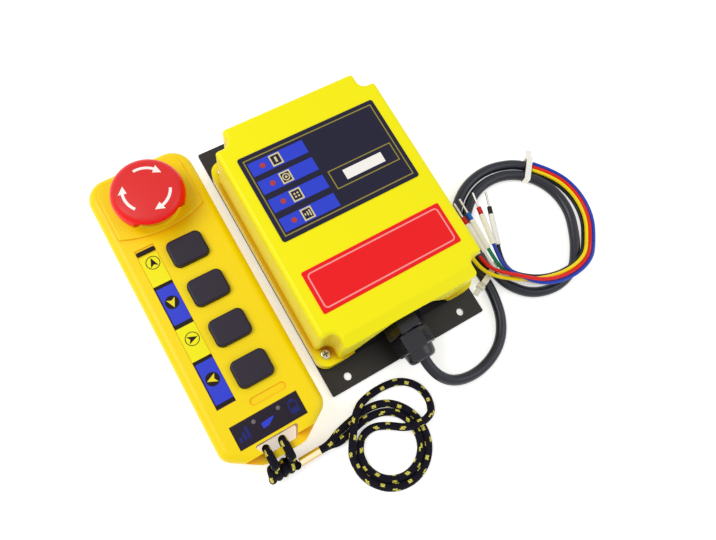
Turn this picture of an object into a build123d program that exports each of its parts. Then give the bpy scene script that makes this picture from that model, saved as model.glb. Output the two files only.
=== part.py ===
"""Radio remote control for a crane: a handset and its receiver box, with cable and lanyard.

Millimetres, +Z up. The origin is on the table, under the middle of the box around both units.
The handset lies left of the receiver, both with their length along Y and their foot towards -Y.
"""
import math
import os

from build123d import *

os.makedirs("parts", exist_ok=True)

# Both units and their places
hand_w = 60.0            # handset width
hand_l = 178.0           # handset length
hand_h = 28.0            # table to the handset's front face
hand_foot_back = 13.0    # how far the handset's foot reaches past the plate's end
unit_gap = 8.0           # table between the handset and the plate
plate_w = 104.0          # mounting plate width
plate_l = 167.0          # mounting plate length
plate_t = 2.0            # mounting plate thickness
lid_top = 51.0           # table to the top of the receiver's lid
clear = 0.2              # gap between rigid pieces that fit into each other
slide_clear = 0.05       # radial gap of a running fit

total_w = hand_w + unit_gap + plate_w
total_l = max(plate_l + hand_foot_back, hand_l)
hand_x = -total_w / 2 + hand_w / 2
hand_y = -total_l / 2 + hand_l / 2
plate_x = total_w / 2 - plate_w / 2
plate_y = -total_l / 2 + hand_foot_back + plate_l / 2
foot_y = hand_y - hand_l / 2
head_y = hand_y + hand_l / 2
hand_scale = hand_l / 178.0      # these three are 1 at the sizes above, and
lid_scale = plate_l / 167.0      # keep what lies in and on both casings in
wide_scale = plate_w / 104.0     # proportion when a size changes

# Handset casing
shell_wall = 2.5
split_z = 11.0           # joint between the two shells
hand_top_r = 12.0        # corners at the stop button's end
hand_foot_r = 8.0        # corners at the tapered foot
foot_taper_w = 18.0      # taper of the foot, across
foot_taper_l = 12.0      # taper of the foot, along
front_edge_r = 5.0
rear_edge_r = 3.0
pad_r = 60.0             # curved edge of the raised pad under the stop button
pad_before = 17.3        # the pad starts this far before the stop button's middle
pad_rise = 1.2
pad_inset = 5.5
bar_w = 4.0              # lanyard bar at the very foot
bar_low = 6.0            # underside of the lanyard bar
bar_high = 20.0
eye_l = 6.5              # lanyard eye, along
eye_top_w = 25.0         # its wide side, towards the panel
eye_foot_w = 18.0

# Push buttons
key_count = 4
key_pitch = 24.5 * hand_scale
key_w = 20.0
key_l = 15.5
key_r = 3.5
key_x = hand_x + 5.0
key_first_y = foot_y + 45.8 * hand_scale
key_rise = 3.2           # cap above the casing
key_travel = 1.6
key_flange = 1.2         # flange that keeps a cap inside the casing
key_flange_t = 1.2

# Labels, panel and slot lens on the front
strip_w = 10.4
strip_x = hand_x - 15.0
strip_low = foot_y + 35.5 * hand_scale
# Blue, yellow, blue, yellow from the foot
strip_lengths = tuple(length * hand_scale for length in (27.5, 19.5, 25.8, 22.6))
strip_depth = 0.5
lens_w = 10.3
lens_l = 2.4
panel_w = 38.0
panel_l = 12.8
panel_y = foot_y + 18.4
panel_depth = 0.6
lamp_d = 2.4
lamp_spread = 14.0
lamp_y = panel_y + 3.2
groove_w = 20.5
groove_l = 4.4
groove_x = hand_x + 6.0
groove_y = panel_y + panel_l / 2 + 5.7 * hand_scale
groove_depth = 0.7

# Stop button
stop_x = hand_x
stop_y = head_y - 25.7
stop_travel = 4.5
stop_lobe_r = 19.4       # the two finger lobes
stop_disc_r = 17.3       # round top
stop_h = 11.0
stop_top_z = 47.0
flute_r = 40.0           # hollow of each finger flute
flute_deep = 10.6        # middle of a flute from the axis
collar_bore = 14.0
collar_od = 22.0
collar_flange_d = 31.0
collar_flange_t = 2.0
nut_t = 3.0
nut_flats = 28.0
stem_d = 9.0

# Handset inside
board_t = 1.6
board_w = 50.0
board_low = foot_y + 16.0
board_high = stop_y - 18.3
cell_d = 14.2
cell_l = 49.0
cell_y = foot_y + 53.0
cover_w = 36.0
cover_l = 64.0
cover_t = 2.0
hand_screw_d = 2.6
hand_screw_head_d = 5.4
hand_screw_x = 24.5
hand_screw_ys = (foot_y + 29.0, hand_y + 4.0, head_y - 15.0)
hand_screw_boss_r = 3.2
hand_screw_reach = 9.0   # thread above the joint between the shells

# Receiver casing
skirt_low = 4.0          # lower edge of the lid's skirt
skirt_top = 14.0         # top of the skirt, where the corner screws sit
plate_end = 15.0         # plate left bare past each end of the lid
lid_l = plate_l - 2 * plate_end
skirt_r = 7.0
lid_wall = 2.5
body_inset_x = 2.0
body_inset_y = 1.0
well_w = 9.0             # corner well for a lid screw, across
well_l = 10.0
well_r = 4.5
lid_corner_r = 2.0
lid_edge_r = 2.5
lid_front_bevel = 6.0    # slope along the top's front edge, from above
lid_front_drop = 3.0     # how far that slope falls
lid_screw_inset_x = 6.0
lid_screw_inset_y = 7.0
lid_screw_d = 3.0
lid_screw_head_d = 5.6
lid_screw_head_t = 2.2
arch_foot = 31.0         # half width of the cable arch at the skirt's top
arch_crown = 12.0        # half width of its flat crown
arch_top = 46.0
arch_r = 9.0
arch_flare = 8.0         # how far its foot flares into the lid's lower edge
base_rim_z = 10.0
base_wall = 2.5
tongue_t = 3.0
tongue_lap = 2.0         # the tongue reaches this far past the arch
seal_w = 1.2
seal_t = 0.6
hole_d = 4.5
hole_edge_x = 12.9       # plate holes from the plate's edges
hole_edge_y = 6.3
hole_dx = plate_w - 2 * hole_edge_x
hole_dy = plate_l - 2 * hole_edge_y

# Receiver label and notice plate
label_w = 84.2 * wide_scale
label_l = 52.2 * lid_scale
label_y = plate_y + 21.5 * lid_scale
notice_w = 84.6 * wide_scale
notice_l = 24.6 * lid_scale
notice_y = plate_y - 35.2 * lid_scale
sheet_t = 0.4
pipe_d = 2.8
pipe_x = plate_x - 30.4 * wide_scale
pipe_first_y = plate_y + 4.6 * lid_scale
pipe_pitch = 11.55 * lid_scale
pipe_count = 4
pipe_low = 32.0          # light pipes end this high above the table

# Receiver inside
board_side = 10.0        # lid's side to the board
board_end = 15.5
main_board_w = plate_w - 2 * board_side
main_board_l = lid_l - 2 * board_end
main_board_z = 12.0
post_d = 6.0
relay_count = 5
relay_pitch = (main_board_w - 2.0) / relay_count
relay_w = relay_pitch - 1.0
relay_l = 19.0 * lid_scale
relay_h = 15.6
relay_y = plate_y + 6.0 * lid_scale
terminal_ways = 8
terminal_pitch = 5.0
terminal_h = 11.0
terminal_l = 9.5
terminal_y = plate_y - 22.0 * lid_scale
terminal_screw_d = 3.2
terminal_mouth = 3.2
transformer_x = plate_x - 22.0 * wide_scale
transformer_w = 30.0 * wide_scale
transformer_l = 25.0 * lid_scale
transformer_h = 17.0
radio_x = plate_x + 18.0 * wide_scale
radio_w = 32.0 * wide_scale
radio_l = 22.0 * lid_scale
radio_h = 5.0
supply_y = plate_y + 34.0 * lid_scale   # middle of the transformer and the radio
aerial_d = 3.2
aerial_h = 22.0
aerial_inset = 4.0       # from the radio's corner

# Cable gland
gland_z = 18.0
gland_bore = 9.0
gland_thread_d = 18.0
gland_flats = 21.0
gland_body_l = 9.0
gland_cap_flats = 20.0
gland_cap_l = 11.0
gland_nose_l = 6.5
gland_nose_r = 3.0       # rounding of its end
locknut_t = 4.0
locknut_flats = 22.0
gland_gap = 0.6          # between the body's flange and the cap
bush_t = 1.6             # rubber bush between the cable and the body
cable_d = 6.4

# Lanyard
lace_d = 4.4
crimp_w = 4.8
crimp_h = 8.8
crimp_l = 12.5
knot_w = 19.0
knot_l = 10.0
knot_h = 13.0
lace_z = 2.2             # middle of the lanyard where it lies on the table
hump_z = 6.9             # and where it crosses over itself
ring_x = -3.9            # middle of the lanyard's ring
ring_y = -115.9
ring_outer_r = 22.6
ring_inner_r = 18.1

# Coil of the cable and its loose wires
coil_x = 137.0
coil_y = -43.0
coil_r = 35.4            # middle of the inner turn
coil_step = 6.9          # from one turn to the next
coil_h = 6.6
coil_from = 45.0         # angles between which two turns lie side by side
coil_to = 190.0
wire_d = 2.3
wire_pitch = 2.45
sleeve_d = 3.5
ferrule_d = 3.0
ferrule_l = 5.0
pin_d = 1.4
pin_l = 10.0
sleeve_l = 20.0
wire_layer = 2.4         # from one layer of wires to the next
tie_w = 3.6
tie_t = 0.8
tie_head_w = 4.8         # the tie's lock
tie_head_l = 2.6
tie_head_h = 4.6
tie_tail_l = 5.0         # its cut end


def save(part, name):
    """Names one finished piece and writes it to its own file."""
    part.label = name
    export_step(part, f"parts/{name}.step")


def handset_outline(inset=0.0):
    """The handset seen from above: round shoulders and a tapered foot."""
    half_w = hand_w / 2
    half_l = hand_l / 2
    with BuildSketch() as outline:
        with BuildLine():
            Polyline(
                (hand_x - half_w, hand_y + half_l),
                (hand_x + half_w, hand_y + half_l),
                (hand_x + half_w, hand_y - half_l + foot_taper_l),
                (hand_x + half_w - foot_taper_w, hand_y - half_l),
                (hand_x - half_w + foot_taper_w, hand_y - half_l),
                (hand_x - half_w, hand_y - half_l + foot_taper_l),
                close=True,
            )
        make_face()
        corners = outline.vertices().sort_by(Axis.Y)
        fillet(corners[-2:], hand_top_r)
        fillet(outline.vertices().sort_by(Axis.Y)[:4], hand_foot_r)
        if inset:
            offset(amount=-inset)
    return outline.sketch


def eye_outline():
    """The lanyard eye: a trapezium, wide towards the panel."""
    foot = hand_y - hand_l / 2 + bar_w
    with BuildSketch() as eye:
        with BuildLine():
            Polyline(
                (hand_x - eye_foot_w / 2, foot),
                (hand_x + eye_foot_w / 2, foot),
                (hand_x + eye_top_w / 2, foot + eye_l),
                (hand_x - eye_top_w / 2, foot + eye_l),
                close=True,
            )
        make_face()
        fillet(eye.vertices(), 1.0)
    return eye.sketch


def lid_outline(inset=0.0):
    """The lid's body seen from above, with a well cut into each corner."""
    half_w = plate_w / 2 - body_inset_x
    half_l = lid_l / 2 - body_inset_y
    with BuildSketch() as outline:
        with Locations((plate_x, plate_y)):
            Rectangle(2 * half_w, 2 * half_l)
            with GridLocations(2 * half_w, 2 * half_l, 2, 2):
                Rectangle(2 * well_w, 2 * well_l, mode=Mode.SUBTRACT)
        inner = outline.vertices().filter_by(
            lambda v: abs(v.X - plate_x) < half_w - 0.1 and abs(v.Y - plate_y) < half_l - 0.1
        )
        fillet(inner, well_r)
        outer = outline.vertices().filter_by(
            lambda v: abs(v.X - plate_x) > half_w - 0.1 or abs(v.Y - plate_y) > half_l - 0.1
        )
        fillet(outer, lid_corner_r)
        if inset:
            offset(amount=-inset)
    return outline.sketch


def skirt_outline(inset=0.0):
    """The lid's skirt and the base's foot seen from above."""
    with BuildSketch() as outline:
        with Locations((plate_x, plate_y)):
            RectangleRounded(plate_w - 2 * inset, lid_l - 2 * inset, skirt_r - inset)
    return outline.sketch


def arch_half(height):
    """Half width of the cable arch at a height, on its straight flank."""
    return arch_crown + (arch_foot - arch_crown) * (arch_top - height) / (arch_top - skirt_top)


def arch_outline():
    """The cable arch in the lid's front wall, drawn in X and Z, flared at its foot."""
    front = Plane(origin=(plate_x, plate_y - lid_l / 2 - 1, 0), x_dir=(1, 0, 0), z_dir=(0, -1, 0))
    low = skirt_low - 0.3
    foot = arch_half(low)
    with BuildSketch(front) as arch:
        with BuildLine():
            FilletPolyline(
                (foot + arch_flare, low),
                (foot, low),
                (arch_crown, arch_top),
                (-arch_crown, arch_top),
                (-foot, low),
                (-foot - arch_flare, low),
                radius=arch_r,
            )
            Polyline(
                (-foot - arch_flare, low),
                (-foot - arch_flare, plate_t),
                (foot + arch_flare, plate_t),
                (foot + arch_flare, low),
            )
        make_face()
    return arch.sketch


def corner_points(dx, dy, x, y):
    """Four points of a rectangle about (x, y)."""
    return [(x + sx * dx, y + sy * dy) for sx in (-1, 1) for sy in (-1, 1)]


def bend_radii(points):
    """One radius for each bend, as large as its two straight runs allow."""
    radii = []
    for before, corner, after in zip(points, points[1:], points[2:]):
        run_in = Vector(corner) - Vector(before)
        run_out = Vector(after) - Vector(corner)
        turn = math.radians(run_in.get_angle(run_out))
        radii.append(0.45 * min(run_in.length, run_out.length) / math.tan(turn / 2))
    return radii


def cord_tube(points, diameter, name):
    """A cord's plain tube: straight runs joined by tangent arcs."""
    radii = bend_radii(points)
    with BuildPart() as cord:
        with BuildLine() as route:
            FilletPolyline(*points, radius=radii)
        with BuildSketch(Plane(origin=points[0], z_dir=Vector(points[1]) - Vector(points[0]))):
            Circle(diameter / 2)
        sweep()
    length = sum(edge.length for edge in route.edges())
    expected = length * math.pi * diameter**2 / 4
    print(name, "length", round(length, 1), "volume share", round(cord.part.volume / expected, 3),
          "radii", [round(r, 1) for r in radii])
    save(cord.part, name)


def around_coil(angle, radius, height):
    """A point beside or on the coil, from its angle and distance to the coil's middle."""
    turn = math.radians(angle)
    return (coil_x + radius * math.cos(turn), coil_y + radius * math.sin(turn), height)


def around_ring(angle, radius):
    """A point of the lanyard's ring on the table."""
    turn = math.radians(angle)
    return (ring_x + radius * math.cos(turn), ring_y + radius * math.sin(turn), lace_z)


def key_y(index):
    """Middle of one push button, counted from the foot."""
    return key_first_y + index * key_pitch


# Handset casing
roof_z = hand_h - shell_wall
hollow_inset = shell_wall
board_z = 18.4

with BuildPart() as front_shell:
    with BuildSketch(Plane.XY.offset(split_z)):
        add(handset_outline())
    extrude(amount=hand_h - split_z)
    fillet(front_shell.faces().sort_by(Axis.Z)[-1].edges(), front_edge_r)
    # Raised pad round the stop button
    with BuildSketch(Plane.XY.offset(hand_h - 1)) as pad:
        with Locations((hand_x, stop_y - pad_before + pad_r)):
            Circle(pad_r)
        add(handset_outline(pad_inset), mode=Mode.INTERSECT)
    extrude(amount=1 + pad_rise)
    fillet(front_shell.faces().sort_by(Axis.Z)[-1].edges(), 1.0)
    # Step down to the lanyard bar
    with BuildSketch(Plane.XY.offset(bar_high)):
        with Locations((hand_x, foot_y)):
            Rectangle(hand_w, 2 * (bar_w + 1.5))
    extrude(amount=hand_h, mode=Mode.SUBTRACT)
    # Hollow for the board, above the eye's wall
    with BuildSketch(Plane.XY.offset(split_z)):
        add(handset_outline(hollow_inset))
        with Locations((hand_x, foot_y)):
            Rectangle(hand_w, 2 * (bar_w + eye_l + shell_wall), mode=Mode.SUBTRACT)
    extrude(amount=roof_z - split_z, mode=Mode.SUBTRACT)
    # Bosses for the casing screws
    with BuildSketch(Plane.XY.offset(split_z)):
        with Locations([(hand_x + side * hand_screw_x, y) for side in (-1, 1) for y in hand_screw_ys]):
            Circle(hand_screw_boss_r)
    extrude(amount=roof_z - split_z)
    with BuildSketch(Plane.XY.offset(split_z)):
        with Locations([(hand_x + side * hand_screw_x, y) for side in (-1, 1) for y in hand_screw_ys]):
            Circle(hand_screw_d / 2 + slide_clear)
    extrude(amount=hand_screw_reach + 1, mode=Mode.SUBTRACT)
    # Openings: buttons, stop button, eye, lamps
    with BuildSketch(Plane.XY.offset(roof_z - 1)):
        with Locations([(key_x, key_y(i)) for i in range(key_count)]):
            RectangleRounded(key_w + 2 * clear, key_l + 2 * clear, key_r + clear)
        with Locations((stop_x, stop_y)):
            Circle(collar_od / 2 + clear)
        with Locations([(hand_x + side * lamp_spread / 2, lamp_y) for side in (-1, 1)]):
            Circle(lamp_d / 2 + clear)
    extrude(amount=hand_h, mode=Mode.SUBTRACT)
    with BuildSketch(Plane.XY.offset(split_z)):
        add(eye_outline())
    extrude(amount=hand_h, mode=Mode.SUBTRACT)
    # Shallow seats of the labels, the lens and the panel, and the sunk groove
    with BuildSketch(Plane.XY.offset(hand_h - strip_depth)):
        with Locations((strip_x, strip_low + sum(strip_lengths) / 2)):
            Rectangle(strip_w + 2 * clear, sum(strip_lengths) + 2 * clear)
    extrude(amount=strip_depth, mode=Mode.SUBTRACT)
    with BuildSketch(Plane.XY.offset(hand_h - panel_depth)):
        with Locations((hand_x, panel_y)):
            Rectangle(panel_w + 2 * clear, panel_l + 2 * clear)
        with Locations((groove_x, groove_y)):
            SlotOverall(groove_w, groove_l)
    extrude(amount=panel_depth, mode=Mode.SUBTRACT)
save(front_shell.part, "handset_front_shell")

tray_w = 2 * cell_d + 3
tray_l = cell_l + 8
with BuildPart() as rear_shell:
    with BuildSketch():
        add(handset_outline())
    extrude(amount=split_z)
    fillet(rear_shell.faces().sort_by(Axis.Z)[0].edges(), rear_edge_r)
    # The lanyard bar stands clear of the table
    with BuildSketch():
        with Locations((hand_x, foot_y)):
            Rectangle(hand_w, 2 * (bar_w + eye_l + 1.5))
    extrude(amount=bar_low, mode=Mode.SUBTRACT)
    with BuildSketch(Plane.XY.offset(shell_wall)):
        add(handset_outline(hollow_inset))
        with Locations((hand_x, foot_y)):
            Rectangle(hand_w, 2 * (bar_w + eye_l + 1.5 + shell_wall), mode=Mode.SUBTRACT)
    extrude(amount=split_z, mode=Mode.SUBTRACT)
    with BuildSketch():
        add(eye_outline())
    extrude(amount=split_z, mode=Mode.SUBTRACT)
    # Battery opening with a ledge for its cover
    with BuildSketch():
        with Locations((hand_x, cell_y)):
            Rectangle(cover_w + 2 * clear, cover_l + 2 * clear)
    extrude(amount=cover_t, mode=Mode.SUBTRACT)
    with BuildSketch():
        with Locations((hand_x, cell_y)):
            Rectangle(tray_w, tray_l)
    extrude(amount=shell_wall, mode=Mode.SUBTRACT)
    # Walls of the battery tray
    with BuildSketch(Plane.XY.offset(shell_wall)):
        with Locations((hand_x, cell_y)):
            Rectangle(tray_w + 3, tray_l + 3)
            Rectangle(tray_w, tray_l, mode=Mode.SUBTRACT)
    extrude(amount=split_z - shell_wall)
    # Screw columns and their bores
    with BuildSketch(Plane.XY.offset(shell_wall)):
        with Locations([(hand_x + side * hand_screw_x, y) for side in (-1, 1) for y in hand_screw_ys]):
            Circle(3.8)
    extrude(amount=split_z - shell_wall)
    with Locations([(hand_x + side * hand_screw_x, y, 0) for side in (-1, 1) for y in hand_screw_ys]):
        with Locations((0, 0, 0)):
            Cylinder(hand_screw_d / 2 + clear, split_z, align=(Align.CENTER, Align.CENTER, Align.MIN),
                     mode=Mode.SUBTRACT)
            Cylinder(hand_screw_head_d / 2 + clear, shell_wall + 1.5,
                     align=(Align.CENTER, Align.CENTER, Align.MIN), mode=Mode.SUBTRACT)
    # Groove of the seal
    with BuildSketch(Plane.XY.offset(split_z - seal_t)):
        add(handset_outline(0.6))
        add(handset_outline(0.6 + seal_w), mode=Mode.SUBTRACT)
        with Locations((hand_x, foot_y)):
            Rectangle(hand_w, 2 * (bar_w + eye_l + 1.5), mode=Mode.SUBTRACT)
    extrude(amount=seal_t, mode=Mode.SUBTRACT)
save(rear_shell.part, "handset_rear_shell")

with BuildPart() as handset_seal:
    with BuildSketch(Plane.XY.offset(split_z - seal_t)):
        add(handset_outline(0.6))
        add(handset_outline(0.6 + seal_w), mode=Mode.SUBTRACT)
        with Locations((hand_x, foot_y)):
            Rectangle(hand_w, 2 * (bar_w + eye_l + 1.5), mode=Mode.SUBTRACT)
    extrude(amount=seal_t)
save(handset_seal.part, "handset_seal")

# Handset inside: board, switches, cells
board_l = board_high - board_low
with BuildPart() as handset_board:
    with BuildSketch(Plane.XY.offset(board_z)):
        with Locations((hand_x, (board_high + board_low) / 2)):
            RectangleRounded(board_w, board_l, 3)
        with Locations([(hand_x + side * hand_screw_x, y) for side in (-1, 1) for y in hand_screw_ys]):
            Circle(3.6, mode=Mode.SUBTRACT)
    extrude(amount=board_t)
    # Stand-offs up to the casing
    with BuildSketch(Plane.XY.offset(board_z + board_t)):
        with Locations([(hand_x - 20, key_y(0) - key_pitch / 2), (hand_x - 20, key_y(key_count - 1) + 10)]):
            Circle(2.0)
    extrude(amount=roof_z - board_z - board_t)
save(handset_board.part, "handset_board")

board_top = board_z + board_t
switch_h = 1.8
flange_z = roof_z - key_flange_t
with BuildPart() as key_switches:
    with BuildSketch(Plane.XY.offset(board_top)):
        with Locations([(key_x, key_y(i)) for i in range(key_count)]):
            Rectangle(6, 6)
    extrude(amount=switch_h - 0.6)
    with BuildSketch(Plane.XY.offset(board_top + switch_h - 0.6)):
        with Locations([(key_x, key_y(i)) for i in range(key_count)]):
            Circle(1.75)
    extrude(amount=0.6)
save(key_switches.part, "key_switches")

with BuildPart() as key_domes:
    with Locations([(key_x, key_y(i), board_top) for i in range(key_count)]):
        Cone(7.0, 5.0, flange_z - board_top, align=(Align.CENTER, Align.CENTER, Align.MIN))
        Cone(6.2, 4.2, flange_z - board_top, align=(Align.CENTER, Align.CENTER, Align.MIN),
             mode=Mode.SUBTRACT)
save(key_domes.part, "key_domes")

for index in range(key_count):
    with BuildPart() as button:
        with BuildSketch(Plane.XY.offset(flange_z)):
            with Locations((key_x, key_y(index))):
                RectangleRounded(key_w + 2 * key_flange, key_l + 2 * key_flange, key_r + key_flange)
        extrude(amount=key_flange_t)
        with BuildSketch(Plane.XY.offset(flange_z)):
            with Locations((key_x, key_y(index))):
                RectangleRounded(key_w, key_l, key_r)
        extrude(amount=key_flange_t + shell_wall + key_rise)
        fillet(button.faces().sort_by(Axis.Z)[-1].edges(), 1.2)
        # Hollow underside
        with BuildSketch(Plane.XY.offset(flange_z)):
            with Locations((key_x, key_y(index))):
                RectangleRounded(key_w - 5, key_l - 5, 1.5)
                Circle(4.2, mode=Mode.SUBTRACT)
        extrude(amount=key_flange_t + shell_wall, mode=Mode.SUBTRACT)
    save(button.part, f"button_{key_count - index}")

with BuildPart() as battery_cells:
    for side in (-1, 1):
        cell = Plane(origin=(hand_x + side * (cell_d + 0.6) / 2, cell_y - cell_l / 2, cover_t + 0.3 + cell_d / 2),
                     x_dir=(1, 0, 0), z_dir=(0, 1, 0))
        with BuildSketch(cell):
            Circle(cell_d / 2)
        extrude(amount=cell_l - 1)
        with BuildSketch(cell.offset(cell_l - 1)):
            Circle(2.6)
        extrude(amount=1)
save(battery_cells.part, "battery_cells")

with BuildPart() as battery_contacts:
    for end in (-1, 1):
        y = cell_y + end * (tray_l / 2 - 0.4)
        with BuildSketch(Plane.XY.offset(cover_t + 1.5)):
            with Locations((hand_x, y)):
                Rectangle(tray_w - 4, 0.8)
        extrude(amount=10)
        for side in (-1, 1):
            x = hand_x + side * (cell_d + 0.6) / 2
            gap = tray_l / 2 - 0.8 - cell_l / 2
            start = cell_y + end * cell_l / 2
            with BuildSketch(Plane(origin=(x, start + end * 0.1, cover_t + 0.3 + cell_d / 2),
                                   x_dir=(1, 0, 0), z_dir=(0, end, 0))):
                Circle(3.0)
                Circle(2.2, mode=Mode.SUBTRACT)
            extrude(amount=gap - 0.1)
save(battery_contacts.part, "battery_contacts")

with BuildPart() as battery_cover:
    with BuildSketch():
        with Locations((hand_x, cell_y)):
            Rectangle(cover_w, cover_l)
    extrude(amount=cover_t - 0.1)
    chamfer(battery_cover.faces().sort_by(Axis.Z)[0].edges(), 0.4)
    with BuildSketch():
        with GridLocations(0, 3.0, 1, 4):
            with Locations((hand_x, cell_y - cover_l / 2 + 10)):
                SlotOverall(16, 1.2)
    extrude(amount=0.5, mode=Mode.SUBTRACT)
save(battery_cover.part, "battery_cover")

seat_z = shell_wall + 1.5
with BuildPart() as handset_screws:
    with Locations([(hand_x + side * hand_screw_x, y, 0) for side in (-1, 1) for y in hand_screw_ys]):
        with Locations((0, 0, seat_z - 2)):
            Cylinder(hand_screw_head_d / 2, 2, align=(Align.CENTER, Align.CENTER, Align.MIN))
        with Locations((0, 0, seat_z)):
            Cylinder(hand_screw_d / 2, split_z + hand_screw_reach - seat_z, align=(Align.CENTER, Align.CENTER, Align.MIN))
        with Locations((0, 0, seat_z - 2)):
            Box(3.4, 0.7, 1, align=(Align.CENTER, Align.CENTER, Align.MIN), mode=Mode.SUBTRACT)
            Box(0.7, 3.4, 1, align=(Align.CENTER, Align.CENTER, Align.MIN), mode=Mode.SUBTRACT)
save(handset_screws.part, "handset_screws")

# Front labels, lens, panel and lamps
label_z = hand_h - strip_depth
for name, first in (("blue_labels", 0), ("yellow_labels", 1)):
    with BuildPart() as labels:
        with BuildSketch(Plane.XY.offset(label_z)):
            for i in (first, first + 2):
                middle = strip_low + sum(strip_lengths[:i]) + strip_lengths[i] / 2
                lens_room = 2 * lens_l if i == len(strip_lengths) - 1 else 0
                with Locations((strip_x, middle - lens_room / 2)):
                    Rectangle(strip_w, strip_lengths[i] - clear - lens_room)
        extrude(amount=strip_depth)
    save(labels.part, name)

with BuildPart() as signal_lens:
    with BuildSketch(Plane.XY.offset(label_z)):
        with Locations((strip_x, strip_low + sum(strip_lengths) - lens_l)):
            RectangleRounded(lens_w, lens_l, 0.6)
    extrude(amount=strip_depth + 0.3)
save(signal_lens.part, "signal_lens")

with BuildPart() as status_panel:
    with BuildSketch(Plane.XY.offset(hand_h - panel_depth)):
        with Locations((hand_x, panel_y)):
            Rectangle(panel_w, panel_l)
        with Locations([(hand_x + side * lamp_spread / 2, lamp_y) for side in (-1, 1)]):
            Circle(lamp_d / 2 + clear, mode=Mode.SUBTRACT)
    extrude(amount=panel_depth)
save(status_panel.part, "status_panel")

with BuildPart() as handset_lamps:
    with Locations([(hand_x + side * lamp_spread / 2, lamp_y, board_top) for side in (-1, 1)]):
        Cylinder(lamp_d / 2, hand_h - board_top, align=(Align.CENTER, Align.CENTER, Align.MIN))
        with Locations((0, 0, hand_h - board_top)):
            Sphere(lamp_d / 2, arc_size1=0, arc_size2=90)
save(handset_lamps.part, "handset_lamps")

# Stop button
up_from = (Align.CENTER, Align.CENTER, Align.MIN)
pad_top = hand_h + pad_rise
collar_top = pad_top + collar_flange_t
block_h = 4.5
block_top = shell_wall + block_h
stem_low = block_top + stop_travel + 1.0
stop_low_z = stop_top_z - stop_h
boss_low = stop_low_z + 2.0
boss_r = 7.0
hollow_top = stop_top_z - 5.0

with BuildPart() as stop_collar:
    with Locations((stop_x, stop_y, pad_top)):
        Cylinder(collar_flange_d / 2, collar_flange_t, align=up_from)
    chamfer(stop_collar.faces().sort_by(Axis.Z)[-1].edges(), 0.6)
    with Locations((stop_x, stop_y, stem_low + 1.4)):
        Cylinder(collar_od / 2, pad_top - stem_low - 1.4, align=up_from)
        Cylinder(collar_bore / 2, collar_top - stem_low, align=up_from, mode=Mode.SUBTRACT)
save(stop_collar.part, "stop_collar")

with BuildPart() as stop_nut:
    with BuildSketch(Plane.XY.offset(roof_z - nut_t)):
        with Locations((stop_x, stop_y)):
            RegularPolygon(nut_flats / 2, 6, major_radius=False)
            Circle(collar_od / 2 + slide_clear, mode=Mode.SUBTRACT)
    extrude(amount=nut_t)
save(stop_nut.part, "stop_nut")

with BuildPart() as contact_block:
    with BuildSketch(Plane.XY.offset(shell_wall)):
        with Locations((stop_x, stop_y)):
            RectangleRounded(27, 27, 2)
    extrude(amount=roof_z - nut_t - 3 - shell_wall)
    with Locations((stop_x, stop_y, block_top)):
        Cylinder(collar_od / 2 + clear, roof_z, align=up_from, mode=Mode.SUBTRACT)
    # Screw terminals on its two sides
    with BuildSketch(Plane.XY.offset(shell_wall + 3)):
        with Locations((stop_x, stop_y)):
            with GridLocations(9, 32, 2, 2):
                RectangleRounded(6, 6, 0.8)
    extrude(amount=6)
save(contact_block.part, "stop_contact_block")

plunger_low = stem_low + 1.5
with BuildPart() as stop_plunger:
    with Locations((stop_x, stop_y, plunger_low)):
        Cylinder(collar_bore / 2 - slide_clear, boss_low - plunger_low, align=up_from)
        Cylinder(stem_d / 2 + slide_clear, boss_low - plunger_low, align=up_from, mode=Mode.SUBTRACT)
save(stop_plunger.part, "stop_plunger")

with BuildPart() as stop_stem:
    with Locations((stop_x, stop_y, stem_low)):
        Cylinder(stem_d / 2 + 1.2, 1.4, align=up_from)
        Cylinder(stem_d / 2, hollow_top - 1.0 - stem_low, align=up_from)
save(stop_stem.part, "stop_stem")

with BuildPart() as stop_spring:
    turns = 3
    spring_h = stem_low - block_top - 1.2
    with BuildLine():
        coil_line = Helix(spring_h / turns, spring_h, 4.6, center=(stop_x, stop_y, block_top + 0.6))
    with BuildSketch(Plane(origin=coil_line @ 0, z_dir=coil_line % 0)):
        Circle(0.5)
    sweep(path=coil_line, is_frenet=True)
save(stop_spring.part, "stop_spring")

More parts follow.
